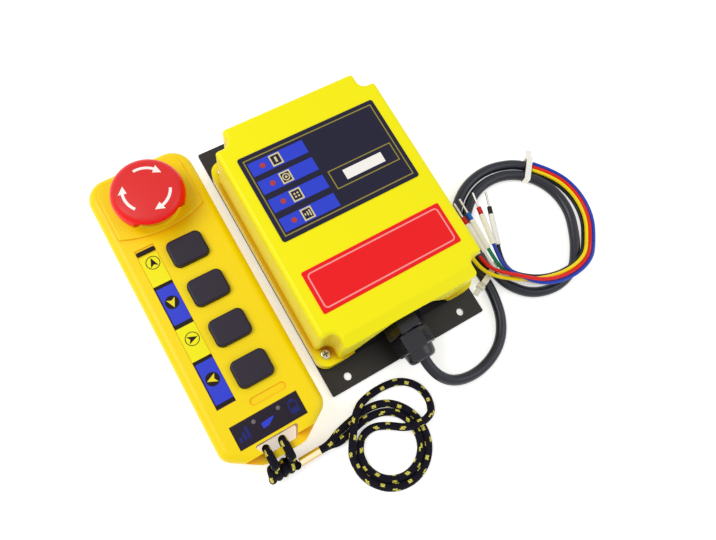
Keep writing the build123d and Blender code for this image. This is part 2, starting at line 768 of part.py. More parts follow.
# The head: a round disc over two finger lobes, with a hollow flute on each side
with BuildPart() as stop_head:
    with BuildSketch(Plane(origin=(stop_x, stop_y, 0), x_dir=(1, 0, 0), z_dir=(0, -1, 0))):
        with BuildLine():
            Polyline(
                (0, stop_top_z),
                (0, stop_low_z),
                (stop_lobe_r - 2, stop_low_z),
                (stop_lobe_r, stop_low_z + 2.6),
                (stop_lobe_r, stop_low_z + 5.4),
            )
            shoulder = ThreePointArc(
                (stop_lobe_r, stop_low_z + 5.4),
                (stop_disc_r + 1.0, stop_top_z - 2.6),
                (stop_disc_r - 1.6, stop_top_z - 0.7),
            )
            TangentArc((0, stop_top_z), shoulder @ 1, tangent=(1, 0))
        make_face()
    revolve(axis=Axis((stop_x, stop_y, 0), (0, 0, 1)))
    with BuildSketch(Plane.XY.offset(stop_low_z)):
        with Locations([(stop_x, stop_y + side * (flute_deep + flute_r)) for side in (-1, 1)]):
            Circle(flute_r)
    extrude(amount=stop_h - 3.2, mode=Mode.SUBTRACT)
    # Hollow underside with a boss for the stem
    with BuildSketch(Plane.XY.offset(stop_low_z)):
        with Locations((stop_x, stop_y)):
            Circle(stop_lobe_r - 3.2)
            with Locations([(0, side * (flute_deep + flute_r)) for side in (-1, 1)]):
                Circle(flute_r + 2.0, mode=Mode.SUBTRACT)
    extrude(amount=hollow_top - stop_low_z, mode=Mode.SUBTRACT)
    with Locations((stop_x, stop_y, boss_low)):
        Cylinder(boss_r, hollow_top - boss_low, align=up_from)
        Cylinder(stem_d / 2 + slide_clear, hollow_top - 1.0 - boss_low, align=up_from, mode=Mode.SUBTRACT)
    with Locations((stop_x, stop_y, stop_low_z)):
        Cylinder(boss_r + 1, boss_low - stop_low_z, align=up_from, mode=Mode.SUBTRACT)
save(stop_head.part, "stop_head")

# Receiver: plate, base and lid
screw_dx = plate_w / 2 - lid_screw_inset_x
screw_dy = lid_l / 2 - lid_screw_inset_y
lid_screws_at = corner_points(screw_dx, screw_dy, plate_x, plate_y)
front_y = plate_y - lid_l / 2

with BuildPart() as mounting_plate:
    with BuildSketch():
        with Locations((plate_x, plate_y)):
            RectangleRounded(plate_w, plate_l, 1.0)
            with GridLocations(hole_dx, hole_dy, 2, 2):
                Circle(hole_d / 2, mode=Mode.SUBTRACT)
    extrude(amount=plate_t)
save(mounting_plate.part, "mounting_plate")

tray_inset = lid_wall + clear
with BuildPart() as receiver_base:
    # Foot under the lid's skirt
    with BuildSketch(Plane.XY.offset(plate_t)):
        add(skirt_outline())
    extrude(amount=skirt_low - plate_t)
    with BuildSketch(Plane.XY.offset(skirt_low)):
        add(skirt_outline(tray_inset))
    extrude(amount=base_rim_z - skirt_low)
    with BuildSketch(Plane.XY.offset(plate_t + base_wall)):
        add(skirt_outline(tray_inset + base_wall))
    extrude(amount=base_rim_z, mode=Mode.SUBTRACT)
    # Groove of the seal
    with BuildSketch(Plane.XY.offset(skirt_low - seal_t)):
        add(skirt_outline(0.6))
        add(skirt_outline(0.6 + seal_w), mode=Mode.SUBTRACT)
    extrude(amount=seal_t, mode=Mode.SUBTRACT)
    # Posts for the lid screws and for the board
    with BuildSketch(Plane.XY.offset(plate_t + base_wall)):
        with Locations(lid_screws_at):
            Circle(post_d / 2)
    extrude(amount=base_rim_z - plate_t - base_wall)
    with BuildSketch(Plane.XY.offset(plate_t + base_wall)):
        with Locations((plate_x, plate_y)):
            with GridLocations(main_board_w - 10, main_board_l - 10, 2, 2):
                Circle(post_d / 2)
    extrude(amount=main_board_z - plate_t - base_wall)
    with Locations([(x, y, plate_t + 1) for x, y in lid_screws_at]):
        Cylinder(lid_screw_d / 2 + slide_clear, base_rim_z, align=up_from, mode=Mode.SUBTRACT)
    # Tongue that fills the cable arch, with the gland's hole
    tongue_front = front_y + body_inset_y + lid_wall + clear
    tongue_foot = arch_half(base_rim_z) + tongue_lap
    with BuildSketch(Plane(origin=(plate_x, tongue_front, 0), x_dir=(1, 0, 0), z_dir=(0, -1, 0))):
        with BuildLine():
            Polyline(
                (tongue_foot, plate_t + 0.5),
                (tongue_foot, base_rim_z),
                (arch_crown + tongue_lap, arch_top + 1.0),
                (-arch_crown - tongue_lap, arch_top + 1.0),
                (-tongue_foot, base_rim_z),
                (-tongue_foot, plate_t + 0.5),
                close=True,
            )
        make_face()
    extrude(amount=-tongue_t)
    with BuildSketch(Plane(origin=(plate_x, tongue_front, gland_z), x_dir=(1, 0, 0), z_dir=(0, -1, 0))):
        Circle(gland_thread_d / 2 + clear)
    extrude(amount=tongue_t + 1, both=True, mode=Mode.SUBTRACT)
    # Flat seat of the gland's flange, cut in front of the tongue
    with BuildSketch(Plane(origin=(plate_x, tongue_front, 0), x_dir=(1, 0, 0), z_dir=(0, -1, 0))):
        with Locations((0, skirt_low)):
            Rectangle(2 * arch_foot - 2, base_rim_z, align=(Align.CENTER, Align.MIN))
    extrude(amount=lid_wall + clear + body_inset_y + 1, mode=Mode.SUBTRACT)
save(receiver_base.part, "receiver_base")

with BuildPart() as receiver_seal:
    with BuildSketch(Plane.XY.offset(skirt_low - seal_t)):
        add(skirt_outline(0.6))
        add(skirt_outline(0.6 + seal_w), mode=Mode.SUBTRACT)
    extrude(amount=seal_t)
save(receiver_seal.part, "receiver_seal")

with BuildPart() as receiver_lid:
    with BuildSketch(Plane.XY.offset(skirt_low)):
        add(lid_outline())
    extrude(amount=lid_top - skirt_low)
    fillet(receiver_lid.faces().sort_by(Axis.Z)[-1].edges(), lid_edge_r)
    # Sloped front edge of the top
    with BuildSketch(Plane.YZ.offset(plate_x - plate_w / 2)):
        with BuildLine():
            Polyline(
                (front_y, lid_top - lid_front_drop - lid_front_drop * body_inset_y / lid_front_bevel),
                (front_y + body_inset_y + lid_front_bevel, lid_top),
                (front_y, lid_top),
                close=True,
            )
        make_face()
    extrude(amount=plate_w, mode=Mode.SUBTRACT)
    with BuildSketch(Plane.XY.offset(skirt_low)):
        add(skirt_outline())
    extrude(amount=skirt_top - skirt_low)
    # Hollow: body, then the skirt below the screw ears
    with BuildSketch(Plane.XY.offset(skirt_low)):
        add(lid_outline(lid_wall))
    extrude(amount=lid_top - lid_wall - skirt_low, mode=Mode.SUBTRACT)
    with BuildSketch(Plane.XY.offset(skirt_low)):
        add(skirt_outline(lid_wall))
    extrude(amount=base_rim_z - skirt_low, mode=Mode.SUBTRACT)
    # Cable arch through the front wall
    add(extrude(arch_outline(), amount=-(lid_wall + body_inset_y + 3), mode=Mode.PRIVATE),
        mode=Mode.SUBTRACT)
    with Locations([(x, y, skirt_low) for x, y in lid_screws_at]):
        Cylinder(lid_screw_d / 2 + clear, skirt_top, align=up_from, mode=Mode.SUBTRACT)
    with Locations([(pipe_x, pipe_first_y + i * pipe_pitch, lid_top - lid_wall - 1) for i in range(pipe_count)]):
        Cylinder(pipe_d / 2 + clear, lid_wall + 2, align=up_from, mode=Mode.SUBTRACT)
save(receiver_lid.part, "receiver_lid")

with BuildPart() as lid_screws:
    with Locations([(x, y, skirt_top) for x, y in lid_screws_at]):
        Cylinder(lid_screw_head_d / 2, lid_screw_head_t, align=up_from)
    fillet(lid_screws.edges().filter_by(GeomType.CIRCLE).group_by(Axis.Z)[-1], 0.8)
    with Locations([(x, y, skirt_top + lid_screw_head_t) for x, y in lid_screws_at]):
        Box(3.4, 0.7, 2.2, mode=Mode.SUBTRACT)
        Box(0.7, 3.4, 2.2, mode=Mode.SUBTRACT)
    with Locations([(x, y, plate_t + 1.5) for x, y in lid_screws_at]):
        Cylinder(lid_screw_d / 2, skirt_top - plate_t - 1.5, align=up_from)
save(lid_screws.part, "lid_screws")

# Receiver inside
with BuildPart() as main_board:
    with Locations((plate_x, plate_y, main_board_z)):
        Box(main_board_w, main_board_l, board_t, align=up_from)
save(main_board.part, "main_board")

board_top = main_board_z + board_t
with BuildPart() as relays:
    with Locations((plate_x, relay_y, board_top)):
        with GridLocations(relay_pitch, 0, relay_count, 1):
            Box(relay_w, relay_l, relay_h, align=up_from)
    fillet(relays.edges().filter_by(Axis.Z), 0.8)
save(relays.part, "relays")

with BuildPart() as terminal_block:
    with Locations((plate_x, terminal_y, board_top)):
        Box(terminal_ways * terminal_pitch, terminal_l, terminal_h, align=up_from)
        with GridLocations(terminal_pitch, 0, terminal_ways, 1):
            with Locations((0, 1.2, terminal_h)):
                Cylinder(terminal_screw_d / 2, 2.4, mode=Mode.SUBTRACT)
            with Locations((0, -terminal_l / 2, terminal_h / 2 - 1)):
                Box(terminal_mouth, 6.0, terminal_mouth, mode=Mode.SUBTRACT)
save(terminal_block.part, "terminal_block")

with BuildPart() as transformer:
    with Locations((transformer_x, supply_y, board_top)):
        Box(transformer_w, transformer_l, transformer_h, align=up_from)
    fillet(transformer.edges().filter_by(Axis.Z), 1.5)
save(transformer.part, "transformer")

with BuildPart() as radio_module:
    with Locations((radio_x, supply_y, board_top)):
        Box(radio_w, radio_l, radio_h, align=up_from)
        with Locations((radio_w / 2 - aerial_inset, aerial_inset - radio_l / 2, radio_h)):
            Cylinder(aerial_d / 2, aerial_h, align=up_from)
save(radio_module.part, "radio_module")

with BuildPart() as status_pipes:
    with Locations([(pipe_x, pipe_first_y + i * pipe_pitch, pipe_low) for i in range(pipe_count)]):
        Cylinder(pipe_d / 2, lid_top - pipe_low, align=up_from)
        Cylinder(pipe_d / 2 + 0.9, lid_top - lid_wall - pipe_low, align=up_from)
save(status_pipes.part, "status_pipes")

# Label and plate on the lid
with BuildPart() as info_label:
    with BuildSketch(Plane.XY.offset(lid_top)):
        with Locations((plate_x, label_y)):
            RectangleRounded(label_w, label_l, 1.5)
    extrude(amount=sheet_t)
save(info_label.part, "info_label")

with BuildPart() as notice_plate:
    with BuildSketch(Plane.XY.offset(lid_top)):
        with Locations((plate_x, notice_y)):
            RectangleRounded(notice_w, notice_l, 1.0)
    extrude(amount=sheet_t)
save(notice_plate.part, "notice_plate")

# Cable gland, its parts turned about the cable's axis
gland_front = Plane(origin=(plate_x, tongue_front, gland_z), x_dir=(1, 0, 0), z_dir=(0, -1, 0))

with BuildPart() as gland_body:
    with BuildSketch(gland_front):
        RegularPolygon(gland_flats / 2, 6, major_radius=False)
    extrude(amount=gland_body_l)
    chamfer(gland_body.faces().sort_by(Axis.Y)[0].edges(), 0.8)
    with BuildSketch(gland_front):
        Circle(gland_thread_d / 2)
    extrude(amount=-(tongue_t + locknut_t + 1.5))
    with BuildSketch(gland_front.offset(gland_body_l)):
        Circle(gland_thread_d / 2 - 1.0)
    extrude(amount=gland_cap_l - 2.2)
    with BuildSketch(gland_front.offset(gland_body_l + gland_cap_l)):
        Circle(gland_bore / 2 + bush_t)
    extrude(amount=-(gland_body_l + gland_cap_l + 20), mode=Mode.SUBTRACT)
save(gland_body.part, "gland_body")

with BuildPart() as gland_cap:
    with BuildSketch(gland_front.offset(gland_body_l + gland_gap)):
        RegularPolygon(gland_cap_flats / 2, 6, major_radius=False, rotation=12)
    extrude(amount=gland_cap_l - gland_gap)
    chamfer(gland_cap.faces().sort_by(Axis.Y)[0].edges(), 0.8)
    with BuildSketch(gland_front.offset(gland_body_l + gland_cap_l)):
        Circle(gland_cap_flats / 2 - 1.0)
    extrude(amount=gland_nose_l, taper=8)
    fillet(gland_cap.faces().sort_by(Axis.Y)[0].outer_wire().edges(), gland_nose_r)
    with BuildSketch(gland_front.offset(gland_body_l)):
        Circle(gland_thread_d / 2 - 1.0 + slide_clear)
    extrude(amount=gland_cap_l - 2.0, mode=Mode.SUBTRACT)
    with BuildSketch(gland_front.offset(gland_body_l)):
        Circle(gland_bore / 2)
    extrude(amount=gland_cap_l + gland_nose_l + 1, mode=Mode.SUBTRACT)
save(gland_cap.part, "gland_cap")

with BuildPart() as gland_bush:
    with BuildSketch(gland_front.offset(2.0)):
        Circle(gland_bore / 2 + bush_t - slide_clear)
        Circle(cable_d / 2, mode=Mode.SUBTRACT)
    extrude(amount=gland_body_l + gland_cap_l - 4.5)
save(gland_bush.part, "gland_bush")

with BuildPart() as gland_locknut:
    with BuildSketch(gland_front.offset(-tongue_t)):
        RegularPolygon(locknut_flats / 2, 6, major_radius=False)
        Circle(gland_thread_d / 2 + slide_clear, mode=Mode.SUBTRACT)
    extrude(amount=-locknut_t)
save(gland_locknut.part, "gland_locknut")

# Lanyard: knot behind the foot bar, hitch strands over it, crimp and the long loop
bar_front = hand_y - hand_l / 2
bar_back = bar_front + bar_w
knot_x = hand_x - 4.6
knot_y = bar_front - 1.0 - knot_l / 2
crimp_x = knot_x + knot_w / 2
crimp_y = knot_y - 2.0

with BuildPart() as lanyard_knot:
    with Locations((knot_x, knot_y, 0)):
        Box(knot_w, knot_l, knot_h, align=up_from)
    fillet(lanyard_knot.edges(), 3.8)
save(lanyard_knot.part, "lanyard_knot")

with BuildPart() as lanyard_crimp:
    with BuildSketch(Plane(origin=(crimp_x, crimp_y, crimp_h / 2), x_dir=(0, 1, 0), z_dir=(1, 0, 0))):
        SlotOverall(crimp_h, crimp_w, rotation=90)
    extrude(amount=crimp_l)
    chamfer(lanyard_crimp.edges().group_by(Axis.X)[-1], 0.4)
save(lanyard_crimp.part, "lanyard_crimp")

hitch_front = bar_front - 3.5
hitch_back = bar_back + 2.7
hitch_top = bar_high + 3.0
hitch_low = bar_low - 2.6
for side, hitch_x in (("left", knot_x - 3.0), ("right", knot_x + 6.5)):
    cord_tube(
        [
            (hitch_x, hitch_front, knot_h),
            (hitch_x, hitch_front, hitch_top),
            (hitch_x, hitch_back, hitch_top),
            (hitch_x, hitch_back, hitch_low),
            (hitch_x, knot_y + knot_l / 2, hitch_low),
        ],
        lace_d,
        f"lanyard_strand_{side}",
    )

crimp_end = crimp_x + crimp_l
lanyard_route = [
    (crimp_end, crimp_y, crimp_h - 2.2),
    (crimp_end + 5.0, crimp_y, 6.5),
    (-26.0, -94.5, 3.6),
    (-17.5, -93.0, lace_z),
    (-5.5, -91.2, lace_z),
    (6.5, -93.0, lace_z),
    (14.9, -100.8, lace_z),
    *[around_ring(angle, ring_outer_r) for angle in range(12, -196, -34)],
    (-21.0, -102.0, hump_z),
    (-11.0, -88.8, hump_z),
    (-1.5, -86.0, lace_z),
    (9.5, -85.4, lace_z),
    (20.0, -87.6, lace_z),
    (27.5, -94.9, lace_z),
    (29.4, -105.0, lace_z),
    (24.0, -113.6, hump_z),
    (9.5, -112.6, hump_z),
    (1.0, -105.5, lace_z),
    (-7.5, -101.6, lace_z),
    (-15.8, -103.4, lace_z),
    *[around_ring(angle, ring_inner_r) for angle in range(165, 376, 35)],
    (9.3, -102.7, lace_z),
    (1.2, -96.9, lace_z),
    (-9.5, -96.0, lace_z),
    (-19.0, -98.3, lace_z),
    (-27.0, -101.2, lace_z),
    (crimp_end + 5.0, crimp_y, 2.2),
    (crimp_end, crimp_y, 2.2),
]
cord_tube(lanyard_route, lace_d, "lanyard_cord")

# Supply cable from the gland to its coil
cable_z = 3.3            # middle of the cable where it lies on the table
cable_start = tongue_front - 6.0
cable_route = [
    (plate_x, cable_start, gland_z),
    (plate_x, cable_start - 17.5, gland_z),
    (plate_x + 2.2, -94.6, 14.4),
    (plate_x + 10.5, -103.2, 8.4),
    (58.0, -106.4, 4.2),
    (72.0, -104.4, cable_z),
    (84.4, -97.8, cable_z),
    (92.6, -86.8, cable_z),
    (96.2, -74.2, cable_z),
    (97.0, -62.0, cable_z + tie_t + 0.1),
    around_coil(coil_to, coil_r + coil_step, cable_z),
]
cord_tube(cable_route, cable_d, "cable")

tie_at = (49.0, 205.0)
tie_outer = (coil_r + coil_step + 3.6, coil_r + coil_step + 5.4)


def tie_plane(angle):
    """A plane across the coil, with its X away from the coil's middle."""
    turn = math.radians(angle)
    return Plane(
        origin=(coil_x, coil_y, 0),
        x_dir=(math.cos(turn), math.sin(turn), 0),
        z_dir=(math.sin(turn), -math.cos(turn), 0),
    )


with BuildPart() as cable_coil:
    with BuildSketch():
        with BuildLine():
            outer_r = coil_r + 1.5 * coil_step
            turn_start = around_coil(coil_from, outer_r, 0)
            turn_end = around_coil(coil_to, outer_r, 0)
            Line((coil_x, coil_y), turn_start)
            ThreePointArc(turn_start, around_coil((coil_from + coil_to) / 2, outer_r, 0), turn_end)
            Line(turn_end, (coil_x, coil_y))
        make_face()
        with Locations((coil_x, coil_y)):
            Circle(coil_r + coil_step / 2 - 0.05)
            Circle(coil_r - coil_step / 2 + 0.05, mode=Mode.SUBTRACT)
    extrude(amount=coil_h)
    # Grooves under the coil for the ties
    for angle, outer in zip(tie_at, tie_outer):
        with BuildSketch(tie_plane(angle)):
            with Locations(((coil_r + outer) / 2, 0)):
                Rectangle(outer - coil_r + 12, 2 * (tie_t + 0.1))
        extrude(amount=tie_w / 2 + 0.1, both=True, mode=Mode.SUBTRACT)
save(cable_coil.part, "cable_coil")

tie_inner = coil_r - coil_step / 2 - 0.1
tie_top = (coil_h + tie_t + 0.1, cable_z + cable_d / 2 + 2 * tie_t + 0.2)
with BuildPart() as cable_ties:
    for angle, outer, top in zip(tie_at, tie_outer, tie_top):
        with BuildSketch(tie_plane(angle)):
            with Locations(((tie_inner + outer) / 2, top / 2)):
                RectangleRounded(outer - tie_inner + 2 * tie_t, top, tie_t)
                Rectangle(outer - tie_inner, top - 2 * tie_t, mode=Mode.SUBTRACT)
        extrude(amount=tie_w / 2, both=True)
        with BuildSketch(tie_plane(angle)):
            with Locations((outer + tie_t / 2, 0.9)):
                Rectangle(tie_head_l, tie_head_h, align=(Align.MIN, Align.MIN))
        extrude(amount=tie_head_w / 2, both=True)
        with BuildSketch(tie_plane(angle)):
            with Locations((outer + tie_t / 2 + tie_head_l, 0.9 + tie_head_h / 2)):
                Rectangle(tie_tail_l, tie_t, align=(Align.MIN, Align.CENTER))
        extrude(amount=tie_w / 2, both=True)
save(cable_ties.part, "cable_ties")

# Loose wires at the cable's end: two layers of three, then each to its own ferrule
bundle_path = (
    (25, 45.4, 1.4),
    (2, 47.0, 1.4),
    (-20, 47.4, 1.4),
    (-40, 46.2, 1.4),
    (-60, 44.6, 9.5),
    (-82, 42.0, 9.5),
    (-108, 39.6, 9.5),
    (-134, 38.0, 9.5),
)
start_r = coil_r + coil_step
# Name, layer, place across the bundle, and its own last points
wires = (
    ("yellow", 1, 2.4, ((99.8, -63.0, 11.6), (95.2, -54.5, 10.4), (94.8, -46.5, 10.2))),
    ("red", 1, 0.0, ((103.4, -61.5, 11.8), (99.5, -54.5, 10.4), (99.5, -47.0, 10.2))),
    ("blue", 1, -2.4, ((108.5, -60.5, 11.9), (109.2, -53.0, 11.9), (110.7, -46.0, 11.7))),
    ("white", 0, 1.2, ((104.8, -63.0, 9.5), (103.3, -55.0, 9.7), (103.3, -47.5, 10.0))),
    ("green", 0, -1.2, ((107.5, -61.5, 9.5), (106.8, -54.0, 9.7), (107.0, -46.5, 10.0))),
    ("black", 0, -3.6, ((110.6, -61.0, 9.5), (111.5, -54.0, 9.5), (114.0, -47.5, 9.5))),
)
start_across = {"yellow": 2.32, "red": 0.0, "blue": -2.32, "white": 2.32, "green": 0.0, "black": -2.32}
wire_ends = []
for color, layer, across, last_points in wires:
    first = around_coil(coil_from, start_r + start_across[color], 2.1 + layer * 2.35)
    common = [
        around_coil(angle, radius + across, height + layer * wire_layer)
        for angle, radius, height in bundle_path
    ]
    cord_tube([first, *common, *last_points], wire_d, f"wire_{color}")
    wire_end = Vector(last_points[-1])
    wire_ends.append((wire_end, (wire_end - Vector(last_points[-2])).normalized()))

with BuildPart() as wire_sleeves:
    for wire_end, along in wire_ends:
        with BuildSketch(Plane(origin=wire_end, z_dir=along)):
            Circle(sleeve_d / 2)
        extrude(amount=sleeve_l)
save(wire_sleeves.part, "wire_sleeves")

with BuildPart() as ferrule_collars:
    for wire_end, along in wire_ends:
        with BuildSketch(Plane(origin=wire_end + along * sleeve_l, z_dir=along)):
            Circle(ferrule_d / 2)
        extrude(amount=ferrule_l)
save(ferrule_collars.part, "ferrule_collars")

with BuildPart() as ferrule_pins:
    for wire_end, along in wire_ends:
        with BuildSketch(Plane(origin=wire_end + along * (sleeve_l + ferrule_l), z_dir=along)):
            Circle(pin_d / 2)
        extrude(amount=pin_l)
save(ferrule_pins.part, "ferrule_pins")
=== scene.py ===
"""Looks of a crane's radio remote control: handset, receiver, cable coil and lanyard.

Metres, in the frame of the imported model. Sizes in the lists are millimetres, times MM.
"""
import math

import bmesh
import bpy
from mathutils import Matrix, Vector


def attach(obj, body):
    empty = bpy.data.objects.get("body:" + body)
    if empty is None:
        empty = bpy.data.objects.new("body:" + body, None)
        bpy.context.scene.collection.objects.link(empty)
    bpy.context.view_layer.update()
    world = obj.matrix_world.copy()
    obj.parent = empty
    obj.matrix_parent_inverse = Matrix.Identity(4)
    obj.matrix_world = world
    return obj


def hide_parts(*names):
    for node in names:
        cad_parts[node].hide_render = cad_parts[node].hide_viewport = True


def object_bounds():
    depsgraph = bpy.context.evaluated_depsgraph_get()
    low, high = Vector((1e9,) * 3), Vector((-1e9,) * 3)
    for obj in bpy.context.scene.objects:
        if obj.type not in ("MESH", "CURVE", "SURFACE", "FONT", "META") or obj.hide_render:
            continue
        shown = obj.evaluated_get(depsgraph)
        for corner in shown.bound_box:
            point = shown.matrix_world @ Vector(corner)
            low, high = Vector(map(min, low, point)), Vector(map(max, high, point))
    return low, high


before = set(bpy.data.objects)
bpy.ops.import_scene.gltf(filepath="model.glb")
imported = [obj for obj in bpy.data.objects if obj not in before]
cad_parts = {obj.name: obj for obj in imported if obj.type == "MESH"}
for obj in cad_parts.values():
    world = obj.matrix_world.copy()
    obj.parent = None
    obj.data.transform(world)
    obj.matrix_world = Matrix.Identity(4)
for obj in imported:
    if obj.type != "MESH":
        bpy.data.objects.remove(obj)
cad_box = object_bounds()

MM = 0.001
RIG = "units"            # the body that everything at rest rides on
HEAD = "stop_button"     # the body of the stop button's head


def add_object(name, data):
    """A new object, linked into the scene."""
    thing = bpy.data.objects.new(name, data)
    bpy.context.scene.collection.objects.link(thing)
    return thing


def add_mesh(name, bm, material):
    """A new object from a finished bmesh, which it frees."""
    mesh = bpy.data.meshes.new(name)
    bm.to_mesh(mesh)
    bm.free()
    mesh.materials.append(material)
    return add_object(name, mesh)


# Camera

SENSOR_MM = 36
LENS_MM = 32.8
CAMERA_PLACE = (-0.0676, -0.0915, 0.3709)
CAMERA_TURN = (0.29415, -0.13259, -0.53095)


def make_camera():
    """The photograph's camera: above the foot of both units, turned towards the receiver."""
    data = bpy.data.cameras.new("camera")
    data.sensor_width = SENSOR_MM
    data.lens = LENS_MM
    data.clip_start = 0.01
    camera = add_object("camera", data)
    camera.location = CAMERA_PLACE
    camera.rotation_euler = CAMERA_TURN
    bpy.context.scene.camera = camera


make_camera()


# Shader nodes: helpers

def paint(red, green, blue):
    """A colour as it shows on screen, 0 to 255, as linear values."""
    def linear(value):
        value /= 255
        return value / 12.92 if value < 0.04045 else ((value + 0.055) / 1.055) ** 2.4
    return (linear(red), linear(green), linear(blue), 1.0)


def new_group(name, inputs, outputs):
    """An empty shader node group with named sockets: (name, kind, value)."""
    group = bpy.data.node_groups.new(name, "ShaderNodeTree")
    for label, kind, value in inputs:
        group.interface.new_socket(label, in_out="INPUT", socket_type=kind).default_value = value
    for label, kind in outputs:
        group.interface.new_socket(label, in_out="OUTPUT", socket_type=kind)
    return group, group.nodes.new("NodeGroupInput"), group.nodes.new("NodeGroupOutput")


def new_material(name):
    """A new material, its node tree and its shader."""
    material = bpy.data.materials.new(name)
    material.use_nodes = True
    return material, material.node_tree, material.node_tree.nodes["Principled BSDF"]


def feed(tree, socket, value):
    """Link a socket to this one, or set it to a plain value."""
    if isinstance(value, bpy.types.NodeSocket):
        tree.links.new(value, socket)
    elif value is not None:
        socket.default_value = value


def math_node(tree, operation, first, second=None, third=None):
    """A Math node fed by sockets or numbers; returns its output."""
    node = tree.nodes.new("ShaderNodeMath")
    node.operation = operation
    for socket, value in zip(node.inputs, (first, second, third)):
        feed(tree, socket, value)
    return node.outputs[0]


def mix_color(tree, factor, first, second):
    """A colour mix fed by sockets or colours; returns its output."""
    node = tree.nodes.new("ShaderNodeMix")
    node.data_type = "RGBA"
    for index, value in ((0, factor), (6, first), (7, second)):
        feed(tree, node.inputs[index], value)
    return node.outputs[2]


def object_place(tree):
    return tree.nodes.new("ShaderNodeTexCoord").outputs["Object"]


def noise(tree, place, scale, detail, roughness=0.5):
    """A Noise texture; returns its value."""
    node = tree.nodes.new("ShaderNodeTexNoise")
    inputs = {"Vector": place, "Scale": scale, "Detail": detail, "Roughness": roughness}
    for label, value in inputs.items():
        feed(tree, node.inputs[label], value)
    return node.outputs["Fac"]


def bump(tree, height, distance, strength):
    """A Bump node; returns its normal."""
    node = tree.nodes.new("ShaderNodeBump")
    for label, value in {"Height": height, "Distance": distance, "Strength": strength}.items():
        feed(tree, node.inputs[label], value)
    return node.outputs["Normal"]


def clamped(tree, value):
    """The value, kept between 0 and 1."""
    node = tree.nodes.new("ShaderNodeClamp")
    tree.links.new(value, node.inputs["Value"])
    return node.outputs[0]


# Shader groups: scales are per metre, shares are of 1

TONE_SCALE = 18
TONE_SHARE = 0.35        # how far the tone may turn to its shade
SCUFF_SCALE = 260
SCUFF_SPREAD = 0.22      # of the roughness, from end to end
GRAIN_RELIEF = 0.0001
EDGE_GAIN = 6.0
BREAKUP_SCALE = 420
BREAKUP_LEVEL = 0.42     # noise below this leaves an edge unworn
BREAKUP_GAIN = 8.0


def moulded_group():
    """Moulded plastic: a fine spark grain, faint scuffs and a soft change of tone."""
    tree, source, sink = new_group(
        "moulded_plastic",
        [
            ("Base", "NodeSocketColor", (0.8, 0.8, 0.8, 1)),
            ("Shade", "NodeSocketColor", (0.4, 0.4, 0.4, 1)),
            ("Roughness", "NodeSocketFloat", 0.4),
            ("Grain size", "NodeSocketFloat", 2500.0),
            ("Grain depth", "NodeSocketFloat", 0.1),
        ],
        [
            ("Color", "NodeSocketColor"),
            ("Roughness", "NodeSocketFloat"),
            ("Normal", "NodeSocketVector"),
        ],
    )
    place = object_place(tree)
    tone = math_node(tree, "MULTIPLY", noise(tree, place, TONE_SCALE, 3), TONE_SHARE)
    scuff = noise(tree, place, SCUFF_SCALE, 6, 0.7)
    spread = math_node(tree, "MULTIPLY_ADD", scuff, SCUFF_SPREAD, -SCUFF_SPREAD / 2)
    grain = noise(tree, place, source.outputs["Grain size"], 2)
    results = {
        "Color": mix_color(tree, tone, source.outputs["Base"], source.outputs["Shade"]),
        "Roughness": math_node(tree, "ADD", source.outputs["Roughness"], spread),
        "Normal": bump(tree, grain, GRAIN_RELIEF, source.outputs["Grain depth"]),
    }
    for label, value in results.items():
        tree.links.new(value, sink.inputs[label])
    return tree


def wear_group():
    """Wear along edges: a mask that is 1 on convex edges, broken up by noise."""
    tree, source, sink = new_group(
        "edge_wear",
        [("Width", "NodeSocketFloat", 0.0006), ("Amount", "NodeSocketFloat", 0.5)],
        [("Mask", "NodeSocketFloat")],
    )
    bevel = tree.nodes.new("ShaderNodeBevel")
    bevel.samples = 4
    tree.links.new(source.outputs["Width"], bevel.inputs["Radius"])
    flat = tree.nodes.new("ShaderNodeNewGeometry")
    turn = tree.nodes.new("ShaderNodeVectorMath")
    turn.operation = "DOT_PRODUCT"
    tree.links.new(bevel.outputs["Normal"], turn.inputs[0])
    tree.links.new(flat.outputs["Normal"], turn.inputs[1])
    edge = math_node(tree, "SUBTRACT", 1.0, turn.outputs["Value"])
    edge = math_node(tree, "MULTIPLY", edge, EDGE_GAIN)
    breakup = noise(tree, object_place(tree), BREAKUP_SCALE, 5)
    broken = math_node(tree, "SUBTRACT", breakup, BREAKUP_LEVEL)
    broken = math_node(tree, "MULTIPLY", broken, BREAKUP_GAIN)
    mask = math_node(tree, "MULTIPLY", edge, broken)
    mask = math_node(tree, "MULTIPLY", mask, source.outputs["Amount"])
    tree.links.new(clamped(tree, mask), sink.inputs["Mask"])
    return tree


def hollow_shade_group():
    """Painted shade: a mask that is 1 far into hollows and 0 on open faces, where a shade colour is
    painted.
    """
    tree, source, sink = new_group(
        "painted_hollow_shade",
        [("Reach", "NodeSocketFloat", 0.009), ("Depth", "NodeSocketFloat", 1.5)],
        [("Mask", "NodeSocketFloat")],
    )
    around = tree.nodes.new("ShaderNodeAmbientOcclusion")
    around.samples = 8
    around.only_local = True
    tree.links.new(source.outputs["Reach"], around.inputs["Distance"])
    closed = math_node(tree, "SUBTRACT", 1.0, around.outputs["AO"])
    closed = math_node(tree, "MULTIPLY", closed, source.outputs["Depth"])
    tree.links.new(clamped(tree, closed), sink.inputs["Mask"])
    return tree


MOULDED = moulded_group()
WEAR = wear_group()
HOLLOW_SHADE = hollow_shade_group()
COAT_ROUGHNESS = 0.12


